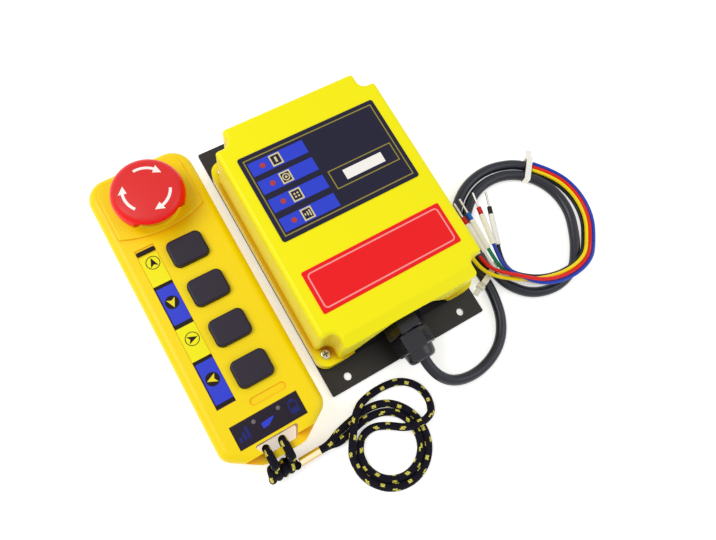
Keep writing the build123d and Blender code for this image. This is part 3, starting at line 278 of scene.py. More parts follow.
def plastic(name, base, shade, roughness=0.35, grain=0.12, grain_size=2600.0, worn=None,
            coat=0.0, shine=0.25, metallic=0.0, painted_shade=None):
    """A moulded or painted finish.

    worn is the colour that shows through on rubbed edges; the last argument is the painted shade, a
    colour painted into hollows where shade falls.
    """
    material, tree, shader = new_material(name)
    body = tree.nodes.new("ShaderNodeGroup")
    body.node_tree = MOULDED
    looks = {"Base": base, "Shade": shade, "Roughness": roughness, "Grain size": grain_size,
             "Grain depth": grain}
    for label, value in looks.items():
        body.inputs[label].default_value = value
    color = body.outputs["Color"]
    # Rubbed edges show their worn colour; hollows get the painted shade
    for group, over in ((WEAR, worn), (HOLLOW_SHADE, painted_shade)):
        if over:
            mask = tree.nodes.new("ShaderNodeGroup")
            mask.node_tree = group
            color = mix_color(tree, mask.outputs["Mask"], color, over)
    settings = {
        "Base Color": color, "Roughness": body.outputs["Roughness"],
        "Normal": body.outputs["Normal"], "Coat Weight": coat, "Coat Roughness": COAT_ROUGHNESS,
        "Specular IOR Level": shine, "Metallic": metallic,
    }
    for label, value in settings.items():
        feed(tree, shader.inputs[label], value)
    return material


def print_film(name, base, shade, roughness=0.4, grain=0.1, shine=0.25):
    """A printed or film finish, with a finer grain than the mouldings."""
    return plastic(name, base, shade, roughness, grain, 3600.0, shine=shine)


# Materials of this object

# Painted shade: orange painted into the handset's hollows, where shade falls
HANDSET_YELLOW = plastic("handset_yellow", paint(255, 226, 0), paint(255, 210, 0), 0.34, 0.16,
                         coat=0.05, painted_shade=paint(250, 160, 0))
# Painted shade: brown painted into the lid's hollows and screw wells, where shade falls
LID_YELLOW = plastic("lid_yellow", paint(255, 246, 0), paint(255, 238, 0), 0.36, 0.12,
                     painted_shade=paint(196, 116, 0))
LABEL_YELLOW = plastic("label_yellow", paint(250, 242, 0), paint(246, 232, 0), 0.4, 0.1)
KEY_DARK = plastic("key_rubber", paint(30, 20, 38), paint(22, 14, 30), 0.42, 0.3, 3200.0,
                   shine=0.3)
PLATE_DARK = plastic("plate_paint", paint(36, 31, 28), paint(25, 22, 21), 0.42, 0.5, 1500.0,
                     worn=paint(70, 66, 62), shine=0.35)
BASE_DARK = plastic("base_plastic", paint(24, 21, 24), paint(16, 15, 18), 0.5, 0.2)
GLAND_DARK = plastic("gland_nylon", paint(22, 23, 34), paint(15, 16, 25), 0.2, 0.1, coat=0.15,
                     shine=0.4)
CABLE_DARK = plastic("cable_jacket", paint(26, 29, 42), paint(18, 20, 32), 0.3, 0.3, 1400.0,
                     shine=0.4)
SEAL_DARK = plastic("seal_rubber", paint(20, 20, 22), paint(14, 14, 16), 0.7, 0.2)
LABEL_NAVY = print_film("label_film", paint(28, 26, 50), paint(22, 20, 42), 0.4, 0.15, 0.2)
NOTICE_RED = print_film("notice_film", paint(246, 20, 26), paint(238, 14, 20), 0.36)
BLUE_FILM = print_film("blue_film", paint(48, 64, 212), paint(38, 52, 196), 0.36, 0.12)
BAR_BLUE = print_film("bar_blue", paint(46, 68, 212), paint(38, 56, 196), 0.36, 0.12)
PANEL_DARK = print_film("panel_film", paint(30, 20, 38), paint(22, 14, 30), 0.32, shine=0.2)
PANEL_BLUE = print_film("panel_blue", paint(30, 38, 118), paint(24, 28, 98), 0.32, shine=0.2)
INK_BLACK = print_film("ink_black", paint(28, 14, 12), paint(20, 10, 8), shine=0.15)
INK_WHITE = print_film("ink_white", paint(255, 250, 244), paint(250, 240, 232), 0.45)
INK_GOLD = print_film("ink_gold", paint(156, 142, 62), paint(134, 120, 50))
INK_CREAM = print_film("ink_cream", paint(226, 212, 160), paint(204, 190, 138))
INK_YELLOW = print_film("ink_yellow", paint(244, 226, 30), paint(230, 208, 20))
INK_PINK = print_film("ink_pink", paint(255, 158, 154), paint(252, 146, 142))
LAMP_ORANGE = plastic("lamp_orange", paint(188, 62, 60), paint(160, 46, 52), 0.3, 0.05)
LAMP_GREY = plastic("lamp_grey", paint(118, 108, 112), paint(92, 84, 90), 0.25, 0.05, coat=0.3)
WHITE_NYLON = plastic("white_nylon", paint(254, 252, 246), paint(244, 240, 230), 0.4, 0.1)
BOARD_GREEN = plastic("board_green", paint(20, 110, 60), paint(12, 84, 46), 0.4, 0.3, 1800.0)
BLOCK_DARK = plastic("block_dark", paint(34, 34, 38), paint(24, 24, 28), 0.5, 0.2)
BLOCK_BLUE = plastic("block_blue", paint(36, 84, 160), paint(28, 68, 134), 0.4, 0.2)
BLOCK_GREEN = plastic("block_green", paint(40, 140, 70), paint(30, 116, 56), 0.45, 0.2)
CELL_GREEN = plastic("cell_sleeve", paint(60, 120, 70), paint(44, 100, 56), 0.3, 0.1)
DOME_GREY = plastic("dome_rubber", paint(150, 150, 142), paint(126, 126, 120), 0.6, 0.2)
# Painted shade: darker brown painted into the screws' hollows, where shade falls
STEEL = plastic("screw_steel", paint(216, 210, 196), paint(150, 144, 132), 0.24, 0.2, 1800.0,
                metallic=1.0, painted_shade=paint(70, 60, 46))
TIN = plastic("tinned_pin", paint(214, 210, 212), paint(170, 168, 170), 0.24, 0.1, 1800.0,
              metallic=1.0)
WIRE_PAINTS = {
    "yellow": plastic("wire_yellow", paint(255, 232, 0), paint(255, 214, 0), 0.3, 0.1),
    "red": plastic("wire_red", paint(236, 30, 22), paint(214, 20, 14), 0.3, 0.1),
    "blue": plastic("wire_blue", paint(30, 66, 190), paint(22, 50, 164), 0.3, 0.1),
    "green": plastic("wire_green", paint(10, 140, 88), paint(6, 112, 70), 0.3, 0.1),
    "black": plastic("wire_black", paint(22, 22, 27), paint(16, 16, 20), 0.34, 0.1),
    "white": plastic("wire_white", paint(246, 244, 242), paint(230, 228, 226), 0.34, 0.1),
}


def banded(name, axis, low, high, bands, roughness=0.35, metallic=0.0, soft=False):
    """A finish whose colour changes along one axis of the piece, from low to high in metres.

    bands are (share, colour); they meet sharply unless soft.
    """
    material = plastic(name, bands[0][1], bands[0][1], roughness, 0.1, metallic=metallic)
    tree = material.node_tree
    split = tree.nodes.new("ShaderNodeSeparateXYZ")
    tree.links.new(object_place(tree), split.inputs[0])
    share = tree.nodes.new("ShaderNodeMapRange")
    for label, value in {"Value": split.outputs[axis], "From Min": low, "From Max": high}.items():
        feed(tree, share.inputs[label], value)
    ramp = tree.nodes.new("ShaderNodeValToRGB")
    ramp.color_ramp.interpolation = "EASE" if soft else "CONSTANT"
    stops = ramp.color_ramp.elements
    while len(stops) < len(bands):
        stops.new(0.5)
    for stop, (place, color) in zip(stops, bands):
        stop.position = place
        stop.color = color
    tree.links.new(share.outputs["Result"], ramp.inputs["Fac"])
    tree.links.new(ramp.outputs["Color"], tree.nodes["Principled BSDF"].inputs["Base Color"])
    return material


# Painted light: the stop button's head is painted a paler red on top than on its side, a painted
# highlight where light falls on its top
STOP_RED_LIT_TOP = banded("stop_red", "Z", 0.036, 0.047, [
    (0.0, paint(236, 4, 0)), (0.82, paint(248, 6, 0)), (0.9, paint(228, 46, 46)),
], 0.3, soft=True)
# From left to right the sleeves' collars are red, blue, red and dark
COLLAR_RED = paint(206, 20, 26)
COLLARS = banded("ferrule_collars", "X", 0.09, 0.13, [
    (0.0, COLLAR_RED), (0.385, paint(20, 100, 214)), (0.5375, COLLAR_RED),
    (0.7125, paint(24, 24, 28)),
])
# Painted reflection: the crimp is painted dark below and brightest along its top, standing in for
# the room mirrored in it
BRASS_PAINTED_REFLECTION = banded("crimp_brass", "Z", 0.0, 0.009, [
    (0.0, paint(120, 92, 30)), (0.55, paint(150, 124, 60)), (0.86, paint(208, 176, 104)),
    (0.96, paint(255, 240, 200)),
], 0.22, metallic=1.0, soft=True)


# The lanyard's sheath

YARNS_PER_METRE = 560.0
YARNS_AROUND = 8.0
YARN_RELIEF = 0.0004
# Painted shade and light in the weave: yarns are painted darker low in the grooves and paler on
# their raised tops
YARN_SHADED, YARN_LIT = paint(4, 3, 7), paint(20, 16, 34)
FLECK_ROWS_PER_METRE = 118.0
FLECKS_AROUND = 3.0
FLECK_SHORTNESS = 6.6        # row spacing over half a fleck's length
FLECK_NARROWNESS = 4.7
FLECK_SHIFT = 0.3            # how far chance moves a fleck, of the row spacing
FLECK_EDGE = (0.85, 1.1)     # from full to none, of half its size
FLECK_PAINT = paint(246, 236, 104)
SCATTER = (5.3, 12.9, 437.0)


def braid_material():
    """A woven cord sheath: dark yarns in a diamond braid, with bright flecks on some of them.

    It reads the piece's own UV map: U is metres along the cord, V goes once round it.
    """
    material, tree, shader = new_material("lanyard_braid")

    def calc(operation, *values):
        return math_node(tree, operation, *values)

    split = tree.nodes.new("ShaderNodeSeparateXYZ")
    tree.links.new(tree.nodes.new("ShaderNodeUVMap").outputs["UV"], split.inputs[0])
    reach, turn = split.outputs["X"], split.outputs["Y"]
    along = calc("MULTIPLY", reach, YARNS_PER_METRE)
    around = calc("MULTIPLY", turn, YARNS_AROUND)
    ways = (calc("ADD", along, around), calc("SUBTRACT", along, around))
    heights = []
    for slanted in ways:
        centred = calc("SUBTRACT", calc("FRACT", slanted), 0.5)
        heights.append(calc("MULTIPLY_ADD", calc("MULTIPLY", centred, centred), -4.0, 1.0))
    # The two ways pass over each other in turn
    passes = calc("ADD", calc("FLOOR", ways[0]), calc("FLOOR", ways[1]))
    over = calc("MODULO", calc("ABSOLUTE", passes), 2.0)
    mix = tree.nodes.new("ShaderNodeMix")
    for index, value in ((0, over), (2, heights[0]), (3, heights[1])):
        tree.links.new(value, mix.inputs[index])
    height = mix.outputs[0]
    # Bright flecks round the cord, each row turned and moved a little against the last
    row = calc("MULTIPLY", reach, FLECK_ROWS_PER_METRE)
    row_number = calc("FLOOR", row)
    column = calc("MULTIPLY_ADD", turn, FLECKS_AROUND, calc("MULTIPLY", row_number, 0.5))
    cell = calc("MULTIPLY_ADD", calc("FLOOR", column), SCATTER[0], row_number)
    wave = calc("SINE", calc("MULTIPLY", cell, SCATTER[1]))
    chance = calc("FRACT", calc("MULTIPLY", wave, SCATTER[2]))
    moved = calc("MULTIPLY_ADD", chance, FLECK_SHIFT, -FLECK_SHIFT / 2)
    off_row = calc("ADD", moved, calc("SUBTRACT", calc("FRACT", row), 0.5))
    off_place = calc("SUBTRACT", calc("FRACT", column), 0.5)
    spot = calc("MAXIMUM", calc("MULTIPLY", calc("ABSOLUTE", off_row), FLECK_SHORTNESS),
                calc("MULTIPLY", calc("ABSOLUTE", off_place), FLECK_NARROWNESS))
    fade = tree.nodes.new("ShaderNodeMapRange")
    ranges = {"Value": spot, "From Min": FLECK_EDGE[0], "From Max": FLECK_EDGE[1],
              "To Min": 1.0, "To Max": 0.0}
    for label, value in ranges.items():
        feed(tree, fade.inputs[label], value)
    raised = calc("GREATER_THAN", height, 0.35)
    bright = calc("MULTIPLY", fade.outputs["Result"], raised)
    # Painted shade: the yarn colour follows the weave's height, shaded in the grooves and lit on
    # the tops
    dark = mix_color(tree, height, YARN_SHADED, YARN_LIT)
    settings = {
        "Base Color": mix_color(tree, bright, dark, FLECK_PAINT), "Roughness": 0.75,
        "Specular IOR Level": 0.15, "Normal": bump(tree, height, YARN_RELIEF, 0.8),
    }
    for label, value in settings.items():
        feed(tree, shader.inputs[label], value)
    return material


BRAID = braid_material()


# Cords: their routes follow the model's, in millimetres; the wires' crossing is added here

LACE_D = 4.4
CABLE_D = 6.4
WIRE_D = 2.3
LACE_Z = 2.2                 # middle line of the lanyard on the table
HUMP_Z = 6.9                 # and where it lies over itself
RING_MIDDLE = (-3.9, -115.9)
RING_OUTER_R = 22.6
RING_INNER_R = 18.1
COIL_MIDDLE = (137.0, -43.0)
COIL_R = 35.4
COIL_STEP = 6.9
OUTER_R = COIL_R + COIL_STEP


def polar(middle, angle, radius, height):
    """A point at an angle and distance from a middle, seen from above."""
    turn = math.radians(angle)
    return (middle[0] + radius * math.cos(turn), middle[1] + radius * math.sin(turn), height)


def route_curve(name, points, diameter):
    """A smooth round cord through these control points."""
    data = bpy.data.curves.new(name, "CURVE")
    data.dimensions = "3D"
    data.bevel_depth = diameter / 2 * MM
    data.bevel_resolution = 5
    data.resolution_u = 10
    data.use_fill_caps = True
    spline = data.splines.new("NURBS")
    spline.points.add(len(points) - 1)
    for point, place in zip(spline.points, points):
        point.co = (*(MM * value for value in place), 1.0)
    spline.order_u = 3
    spline.use_endpoint_u = True
    return add_object(name, data)


def line_points(cord):
    """The points of the cord's own smooth line."""
    data = cord.data.copy()
    data.bevel_depth = 0
    bare = add_object("bare_line", data)
    bpy.context.view_layer.update()
    depsgraph = bpy.context.evaluated_depsgraph_get()
    mesh = bpy.data.meshes.new_from_object(bare.evaluated_get(depsgraph))
    points = [vertex.co.copy() for vertex in mesh.vertices]
    bpy.data.objects.remove(bare)
    bpy.data.meshes.remove(mesh)
    return points


def length_of(points):
    return sum((b - a).length for a, b in zip(points, points[1:]))


def tube_mesh(name, line, diameter, material, sides=24):
    """A tube along a line of points, with U along it in metres and V once round it."""
    bm = bmesh.new()
    uv_layer = bm.loops.layers.uv.new("along_and_around")
    radius = diameter / 2
    before, after = [line[0]] + line[:-1], line[1:] + [line[-1]]
    tangents = [(b - a).normalized() for a, b in zip(before, after)]
    side = tangents[0].orthogonal().normalized()
    rings, travelled, reach = [], [], 0.0
    for index, (point, tangent) in enumerate(zip(line, tangents)):
        side = (side - tangent * side.dot(tangent)).normalized()
        other = tangent.cross(side)
        if index:
            reach += (point - line[index - 1]).length
        travelled.append(reach)
        rings.append([
            bm.verts.new(point + radius * (math.cos(turn) * side + math.sin(turn) * other))
            for turn in (2 * math.pi * k / sides for k in range(sides))
        ])
    for index, (ring_a, ring_b) in enumerate(zip(rings, rings[1:])):
        for k in range(sides):
            nxt = (k + 1) % sides
            face = bm.faces.new((ring_a[k], ring_a[nxt], ring_b[nxt], ring_b[k]))
            face.smooth = True
            spots = ((index, k), (index, k + 1), (index + 1, k + 1), (index + 1, k))
            for loop, (row, column) in zip(face.loops, spots):
                loop[uv_layer].uv = (travelled[row], column / sides)
    for end in (rings[0], rings[-1]):
        bm.faces.new(end)
    bmesh.ops.recalc_face_normals(bm, faces=bm.faces)
    return add_mesh(name, bm, material)


def smooth_line(name, points):
    """The smooth line through a route, without a piece for it."""
    guide = route_curve(name, points, 1.0)
    line = line_points(guide)
    bpy.data.objects.remove(guide)
    return line


def add_cord(name, points, diameter, material, replaced):
    """A free cord that stands for its solids in the model."""
    cord = route_curve(name, points, diameter)
    cord.data.materials.append(material)
    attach(cord, RIG)
    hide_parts(*replaced)
    length_of(line_points(cord))


def braided(name, line, replaced):
    """A braided length along a line, riding with the units."""
    tube = tube_mesh(name, line, LACE_D * MM, BRAID)
    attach(tube, RIG)
    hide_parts(*replaced)
    return tube


# The lanyard: two strands hitched over the bar, a knot of four turns, the crimp and the loop

STRAND_XS = {"left": -63.6, "right": -54.1}
HITCH = (                    # y and z of a strand's middle line, round the bar
    (-93.5, 9.0), (-93.6, 17.0), (-93.4, 21.6), (-91.6, 23.3), (-87.0, 23.4), (-84.0, 22.8),
    (-82.9, 20.2), (-82.9, 12.0), (-83.1, 6.0), (-84.6, 3.2), (-88.0, 2.9), (-92.0, 3.2),
)
KNOT_MIDDLE = (-60.6, -96.0, 6.5)
KNOT_HALF_W = 7.3
KNOT_TURNS = 4
KNOT_REACH = (2.8, 4.3)      # of the turns' middle line, along and up
KNOT_STEPS = 36 * KNOT_TURNS


def make_hitch():
    """Both strands and the knot; returns them."""
    made = []
    for side, x in STRAND_XS.items():
        line = smooth_line("strand_guide", [(x, y, z) for y, z in HITCH])
        made.append(braided(f"hitch_strand_{side}", line, [f"lanyard_strand_{side}"]))
    turn_line = []
    for step in range(KNOT_STEPS + 1):
        turn = 2 * math.pi * KNOT_TURNS * step / KNOT_STEPS
        turn_line.append(MM * Vector((
            KNOT_MIDDLE[0] - KNOT_HALF_W + 2 * KNOT_HALF_W * step / KNOT_STEPS,
            KNOT_MIDDLE[1] - KNOT_REACH[0] * math.cos(turn),
            KNOT_MIDDLE[2] + KNOT_REACH[1] * math.sin(turn),
        )))
    made.append(braided("lanyard_turns", turn_line, ["lanyard_knot"]))
    return made


CRIMP_END = -38.6
CRIMP_OUT = CRIMP_END + 5.0
CRIMP_Y = -98.0
LANYARD_ROUTE = [
    (CRIMP_END, CRIMP_Y, 6.6), (CRIMP_OUT, CRIMP_Y, 6.5), (-26.0, -95.0, 3.4),
    (-17.5, -93.1, LACE_Z), (-5.5, -91.3, LACE_Z), (5.8, -93.5, LACE_Z), (13.9, -100.9, LACE_Z),
    *[polar(RING_MIDDLE, angle, RING_OUTER_R, LACE_Z) for angle in range(12, -196, -34)],
    (-21.0, -102.0, HUMP_Z), (-11.0, -88.8, HUMP_Z), (-1.5, -86.0, LACE_Z), (9.5, -85.4, LACE_Z),
    (20.0, -87.6, LACE_Z), (27.5, -94.9, LACE_Z), (29.4, -105.0, LACE_Z), (24.0, -113.6, HUMP_Z),
    (9.5, -112.6, HUMP_Z), (1.0, -105.5, LACE_Z), (-7.5, -101.6, LACE_Z), (-15.8, -103.4, LACE_Z),
    *[polar(RING_MIDDLE, angle, RING_INNER_R, LACE_Z) for angle in range(165, 376, 35)],
    (9.8, -102.4, LACE_Z), (1.4, -96.9, LACE_Z), (-9.5, -96.0, LACE_Z), (-19.0, -98.0, LACE_Z),
    (-27.0, -99.9, LACE_Z), (CRIMP_OUT, CRIMP_Y, LACE_Z), (CRIMP_END, CRIMP_Y, LACE_Z),
]


def make_lanyard():
    """The hitch and the loop, out of the crimp and back into it."""
    hitch = make_hitch()
    line = smooth_line("lanyard_guide", LANYARD_ROUTE)
    loop = braided("lanyard_loop", line, ["lanyard_cord"])


make_lanyard()


# The supply cable: out of the gland, round to the coil, and nearly one turn and a half in it

GLAND_X = 34.0
CABLE_START = -64.3
CABLE_Z = 3.3
CABLE_LEAD = [
    (GLAND_X, CABLE_START, 18.0), (GLAND_X, CABLE_START - 17.5, 18.0), (36.2, -94.6, 14.4),
    (44.5, -103.2, 8.4), (58.0, -106.4, 4.2), (72.0, -104.4, CABLE_Z), (84.4, -97.8, CABLE_Z),
    (92.6, -86.8, CABLE_Z), (96.2, -74.2, CABLE_Z), (97.0, -62.0, CABLE_Z + 0.9),
]
JOIN_ANGLE = 190             # the lead comes in from outside the inner turn here,
JOIN_SWEEP = 45              # over this many degrees,
JOIN_OUTSIDE = 6.0           # from this far outside it
# Angle and radius where the inner turn swings out, to be seen beyond the wires
SWING = ((-50, 37.4), (-70, 42.6), (-92, 44.4), (-114, 44.2), (-134, 41.0), (-152, 36.6))
# Angle, radius and height where the cable climbs over its own lead
OVER_LEAD = ((-168, 36.6, 8.2), (-186, 39.4, 9.4), (-204, 41.4, 7.4), (-222, OUTER_R, 3.6))
OUTER_ANGLES = (-240, -258, -276, -294, -306, -314)
JACKET_END = 45              # angle where the wires start, a degree inside the jacket


def coil_points():
    """One full inner turn, then the outer pass over the lead and round to the jacket's end."""
    points = []
    for angle in range(185, -36, -22):
        outside = JOIN_OUTSIDE * max(0.0, 1 - (JOIN_ANGLE - angle) / JOIN_SWEEP)
        points.append(polar(COIL_MIDDLE, angle, COIL_R + outside, CABLE_Z))
    points += [polar(COIL_MIDDLE, angle, radius, CABLE_Z) for angle, radius in SWING]
    points += [polar(COIL_MIDDLE, *spot) for spot in OVER_LEAD]
    points += [polar(COIL_MIDDLE, angle, OUTER_R, CABLE_Z) for angle in OUTER_ANGLES]
    return points


add_cord("supply_cable", CABLE_LEAD + coil_points(), CABLE_D, CABLE_DARK,
         ["cable", "cable_coil"])


# The loose wires, as a bundle of two layers of three that ends at the sleeves

BUNDLE = (                   # angle, radius and height of the bundle's middle
    (25, 45.4, 1.4), (2, 47.0, 1.4), (-20, 47.4, 1.4), (-40, 46.2, 1.4), (-60, 44.6, 9.5),
    (-82, 42.0, 9.5), (-108, 39.6, 9.5), (-134, 38.0, 9.5),
)
LAYER = 2.4
START_Z = 2.1                # of the lower layer, in the jacket's end
START_LAYER = 2.35
LEVEL = (0,) * len(BUNDLE)
# Per wire: layer, place across the bundle at its eight points, lift there, place across at the
# jacket's end, and its own last points. Red crosses over yellow and blue before the lid.
WIRES = {
    "yellow": (
        1, (-2.4, -2.4, -2.4, -2.4, -2.4, -2.4, -2.2, 0.8), LEVEL, -2.32,
        ((99.8, -63.0, 11.6), (95.2, -54.5, 10.4), (94.8, -46.5, 10.2)),
    ),
    "red": (
        1, (0, 0, 0, 0, 0, 0, 0, -0.2), (0, 0, 0, 0, 0, 0.6, 3.4, 5.2), 0.0,
        ((103.4, -61.5, 11.8), (99.5, -54.5, 10.4), (99.5, -47.0, 10.2)),
    ),
    "blue": (
        1, (2.4, 2.4, 2.4, 2.4, 2.4, 2.4, 2.2, -1.2), (0, 0, 0, 0, 0, 0, 1.6, 2.5), 2.32,
        ((108.5, -60.5, 11.9), (109.2, -53.0, 11.9), (110.7, -46.0, 11.7)),
    ),
    "white": (
        0, (1.2,) * 8, LEVEL, 2.32,
        ((104.8, -63.0, 9.5), (103.3, -55.0, 9.7), (103.3, -47.5, 10.0)),
    ),
    "green": (
        0, (-1.2,) * 8, LEVEL, 0.0,
        ((107.5, -61.5, 9.5), (106.8, -54.0, 9.7), (107.0, -46.5, 10.0)),
    ),
    "black": (
        0, (-3.6,) * 8, LEVEL, -2.32,
        ((110.6, -61.0, 9.5), (111.5, -54.0, 9.5), (114.0, -47.5, 9.5)),
    ),
}


def make_wires():
    """Six thin wires from the jacket's end, each to its own sleeve."""
    for color, (layer, across, lift, at_start, last_points) in WIRES.items():
        points = [polar(COIL_MIDDLE, JACKET_END, OUTER_R + at_start,
                        START_Z + layer * START_LAYER)]
        points += [polar(COIL_MIDDLE, angle, radius + aside, height + layer * LAYER + up)
                   for (angle, radius, height), aside, up in zip(BUNDLE, across, lift)]
        points += last_points
        add_cord(f"loose_wire_{color}", points, WIRE_D, WIRE_PAINTS[color],
                 [f"wire_{color}"])


make_wires()


# Finishes of the model's own pieces

FINISHES = (
    (HANDSET_YELLOW, ("handset_front_shell", "handset_rear_shell", "battery_cover",
                      "stop_collar")),
    (LABEL_YELLOW, ("yellow_labels",)),
    (LID_YELLOW, ("receiver_lid",)),
    (KEY_DARK, ("button_1", "button_2", "button_3", "button_4")),
    (STOP_RED_LIT_TOP, ("stop_head", "stop_stem")),
    (PLATE_DARK, ("mounting_plate",)),
    (BASE_DARK, ("receiver_base",)),
    (GLAND_DARK, ("gland_locknut",)),
    (SEAL_DARK, ("handset_seal", "receiver_seal", "gland_bush")),
    (LABEL_NAVY, ("info_label",)),
    (NOTICE_RED, ("notice_plate",)),
    (BLUE_FILM, ("blue_labels",)),
    (PANEL_DARK, ("status_panel",)),
    (INK_BLACK, ("signal_lens",)),
    (LAMP_GREY, ("handset_lamps",)),
    (LAMP_ORANGE, ("status_pipes",)),
    (WHITE_NYLON, ("wire_sleeves", "cable_ties")),
    (COLLARS, ("ferrule_collars",)),
    (BRASS_PAINTED_REFLECTION, ("lanyard_crimp",)),
    (TIN, ("ferrule_pins", "battery_contacts", "radio_module")),
    (STEEL, ("handset_screws", "lid_screws", "stop_spring")),
    (BOARD_GREEN, ("handset_board", "main_board")),
    (DOME_GREY, ("key_domes",)),
    (CELL_GREEN, ("battery_cells",)),
    (BLOCK_DARK, ("key_switches", "stop_nut", "stop_contact_block", "stop_plunger",
                  "transformer")),
    (BLOCK_BLUE, ("relays",)),
    (BLOCK_GREEN, ("terminal_block",)),
)
for material, names in FINISHES:
    for name in names:
        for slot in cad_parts[name].material_slots:
            slot.material = material


# The cable gland with its moulded edges broken, so that they catch the light

SHARP = math.radians(35)
FLAT = math.radians(1)
BROKEN_W = 0.5


def broken_edges(node, width, material):
    """A solid of the model again, with its sharp edges beveled."""
    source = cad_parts[node]
    bm = bmesh.new()
    bm.from_mesh(source.data)
    bm.transform(source.matrix_world)
    bmesh.ops.remove_doubles(bm, verts=bm.verts, dist=0.001 * MM)
    bmesh.ops.dissolve_limit(bm, angle_limit=FLAT, verts=bm.verts, edges=bm.edges)
    sharp = [edge for edge in bm.edges
             if len(edge.link_faces) == 2 and edge.calc_face_angle() > SHARP]
    bmesh.ops.bevel(bm, geom=sharp, affect="EDGES", offset=width * MM, segments=2, profile=0.5,
                    material=-1, clamp_overlap=True)
    bmesh.ops.recalc_face_normals(bm, faces=bm.faces)
    for face in bm.faces:
        face.smooth = False
        face.material_index = 0
    piece = add_mesh(f"{node}_edges", bm, material)
    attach(piece, RIG)
    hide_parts(node)


for node in ("gland_body", "gland_cap"):
    broken_edges(node, BROKEN_W, GLAND_DARK)


# Prints on the labels, as thin flat pieces

INK_T = 0.05                 # thickness of a print; half of it is its gap to what is below
OVER_INK = 2 * INK_T         # height step from one print to one on top of it
PLATE_MIDDLE = (34.0, 6.5)
SHEET_TOP = 51.4
HAND_FACE = 28.0
LEAST_CORNER = 0.01


def box_loop(x, y, width, length, corner=0.0):
    """Corner points of a rectangle about (x, y), rounded if corner is given."""
    if not corner:
        return [(x + sx * width / 2, y + sy * length / 2)
                for sx, sy in ((-1, -1), (1, -1), (1, 1), (-1, 1))]
    points = []
    for sx, sy, start in ((1, -1, -90), (1, 1, 0), (-1, 1, 90), (-1, -1, 180)):
        for step in range(7):
            turn = math.radians(start + 15 * step)
            points.append((x + sx * (width / 2 - corner) + corner * math.cos(turn),
                           y + sy * (length / 2 - corner) + corner * math.sin(turn)))
    return points


def round_loop(x, y, radius, steps=40):
    turns = [2 * math.pi * k / steps for k in range(steps)]
    return [(x + radius * math.cos(turn), y + radius * math.sin(turn)) for turn in turns]


def turned(points, angle, x, y):
    """Points turned about the origin, then moved to (x, y)."""
    c, s = math.cos(math.radians(angle)), math.sin(math.radians(angle))
    return [(x + c * px - s * py, y + s * px + c * py) for px, py in points]


def ring(x, y, radius, line):
    """A circle's line as a frame."""
    return (round_loop(x, y, radius), round_loop(x, y, radius - line))


def box_frame(x, y, width, length, line, corner=0.0):
    """A rectangle's line as a frame."""
    inner = max(corner - line, LEAST_CORNER) if corner else 0.0
    return (box_loop(x, y, width, length, corner),
            box_loop(x, y, width - 2 * line, length - 2 * line, inner))


def print_piece(name, material, height, fills=(), frames=(), offset=(0, 0), body=RIG,
                surface=None):
    """One print: filled shapes and frames (outer loop, inner loop), lifted off the film a hair.

    surface gives the height at a place, where it isn't level.
    """
    bm = bmesh.new()

    def spot(point):
        x, y = point[0] + offset[0], point[1] + offset[1]
        z = surface(x, y) if surface else height
        return bm.verts.new((x * MM, y * MM, (z + INK_T / 2) * MM))

    for loop in fills:
        bm.faces.new([spot(point) for point in loop])
    for outer, inner in frames:
        outside = [spot(point) for point in outer]
        inside = [spot(point) for point in inner]
        for k in range(len(outside)):
            nxt = (k + 1) % len(outside)
            bm.faces.new((outside[k], outside[nxt], inside[nxt], inside[k]))
    for face in bm.faces:
        face.normal_update()
        if face.normal.z < 0:
            face.normal_flip()
    raised = bmesh.ops.extrude_face_region(bm, geom=list(bm.faces))
    lifted = [item for item in raised["geom"] if isinstance(item, bmesh.types.BMVert)]
    bmesh.ops.translate(bm, verts=lifted, vec=(0, 0, INK_T * MM))
    bmesh.ops.recalc_face_normals(bm, faces=bm.faces)
    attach(add_mesh(name, bm, material), body)


# The receiver's label and red plate, about the mounting plate's middle: x, y, width, length
BAR_X, BAR_W, BAR_L = -21.9, 32.9, 8.1
BAR_YS = (38.75, 27.35, 15.8, 3.9)
LED_X, LED_R = -31.2, 1.5
ICON_X = -23.2
ICON_FIELD = (6.0, 6.6)
ICON_LINE = (6.4, 6.9, 0.8)
LABEL_LINE = (0, 21.5, 79.6, 47.4, 0.65)
FIELD_LINE = (17.6, 14.2, 39.6, 11.6, 0.6)
FIELD = (17.6, 14.2, 24.2, 6.0)
NOTICE_LINE = (0, -35.2, 80.6, 20.8, 0.8, 2.4)


def make_label_prints():
    """Blue bars with a lamp window and a plain symbol each, gold lines and a white field."""
    def on_lid(name, material, height, fills=(), frames=()):
        print_piece(name, material, height, fills, frames, offset=PLATE_MIDDLE)

    over = SHEET_TOP + OVER_INK
    on_lid("label_bars", BAR_BLUE, SHEET_TOP, [box_loop(BAR_X, y, BAR_W, BAR_L) for y in BAR_YS])
    on_lid("label_lamps", LAMP_ORANGE, over, [round_loop(LED_X, y, LED_R) for y in BAR_YS])
    on_lid("label_icon_fields", LABEL_NAVY, over,
           [box_loop(ICON_X, y, *ICON_FIELD) for y in BAR_YS])
    # A bar, a ring with its dot, four squares and three rising bars
    top_y, second_y, third_y, last_y = BAR_YS
    marks = [box_loop(ICON_X, top_y, 1.2, 3.2), round_loop(ICON_X, second_y, 0.7, 16)]
    marks += [box_loop(ICON_X + dx, third_y + dy, 1.0, 1.0)
              for dx in (-0.9, 0.9) for dy in (-0.9, 0.9)]
    marks += [box_loop(ICON_X + dx, last_y, 0.7, tall)
              for dx, tall in ((-1.4, 1.2), (0.0, 2.4), (1.4, 3.6))]
    frames = [box_frame(ICON_X, y, *ICON_LINE) for y in BAR_YS]
    frames.append(ring(ICON_X, second_y, 2.1, 0.6))
    on_lid("label_icons", INK_CREAM, over + OVER_INK, marks, frames)
    on_lid("label_lines", INK_GOLD, SHEET_TOP, (), [box_frame(*LABEL_LINE), box_frame(*FIELD_LINE)])
    on_lid("label_field", INK_WHITE, SHEET_TOP, [box_loop(*FIELD)])
    on_lid("notice_line", INK_PINK, SHEET_TOP, (), [box_frame(*NOTICE_LINE)])


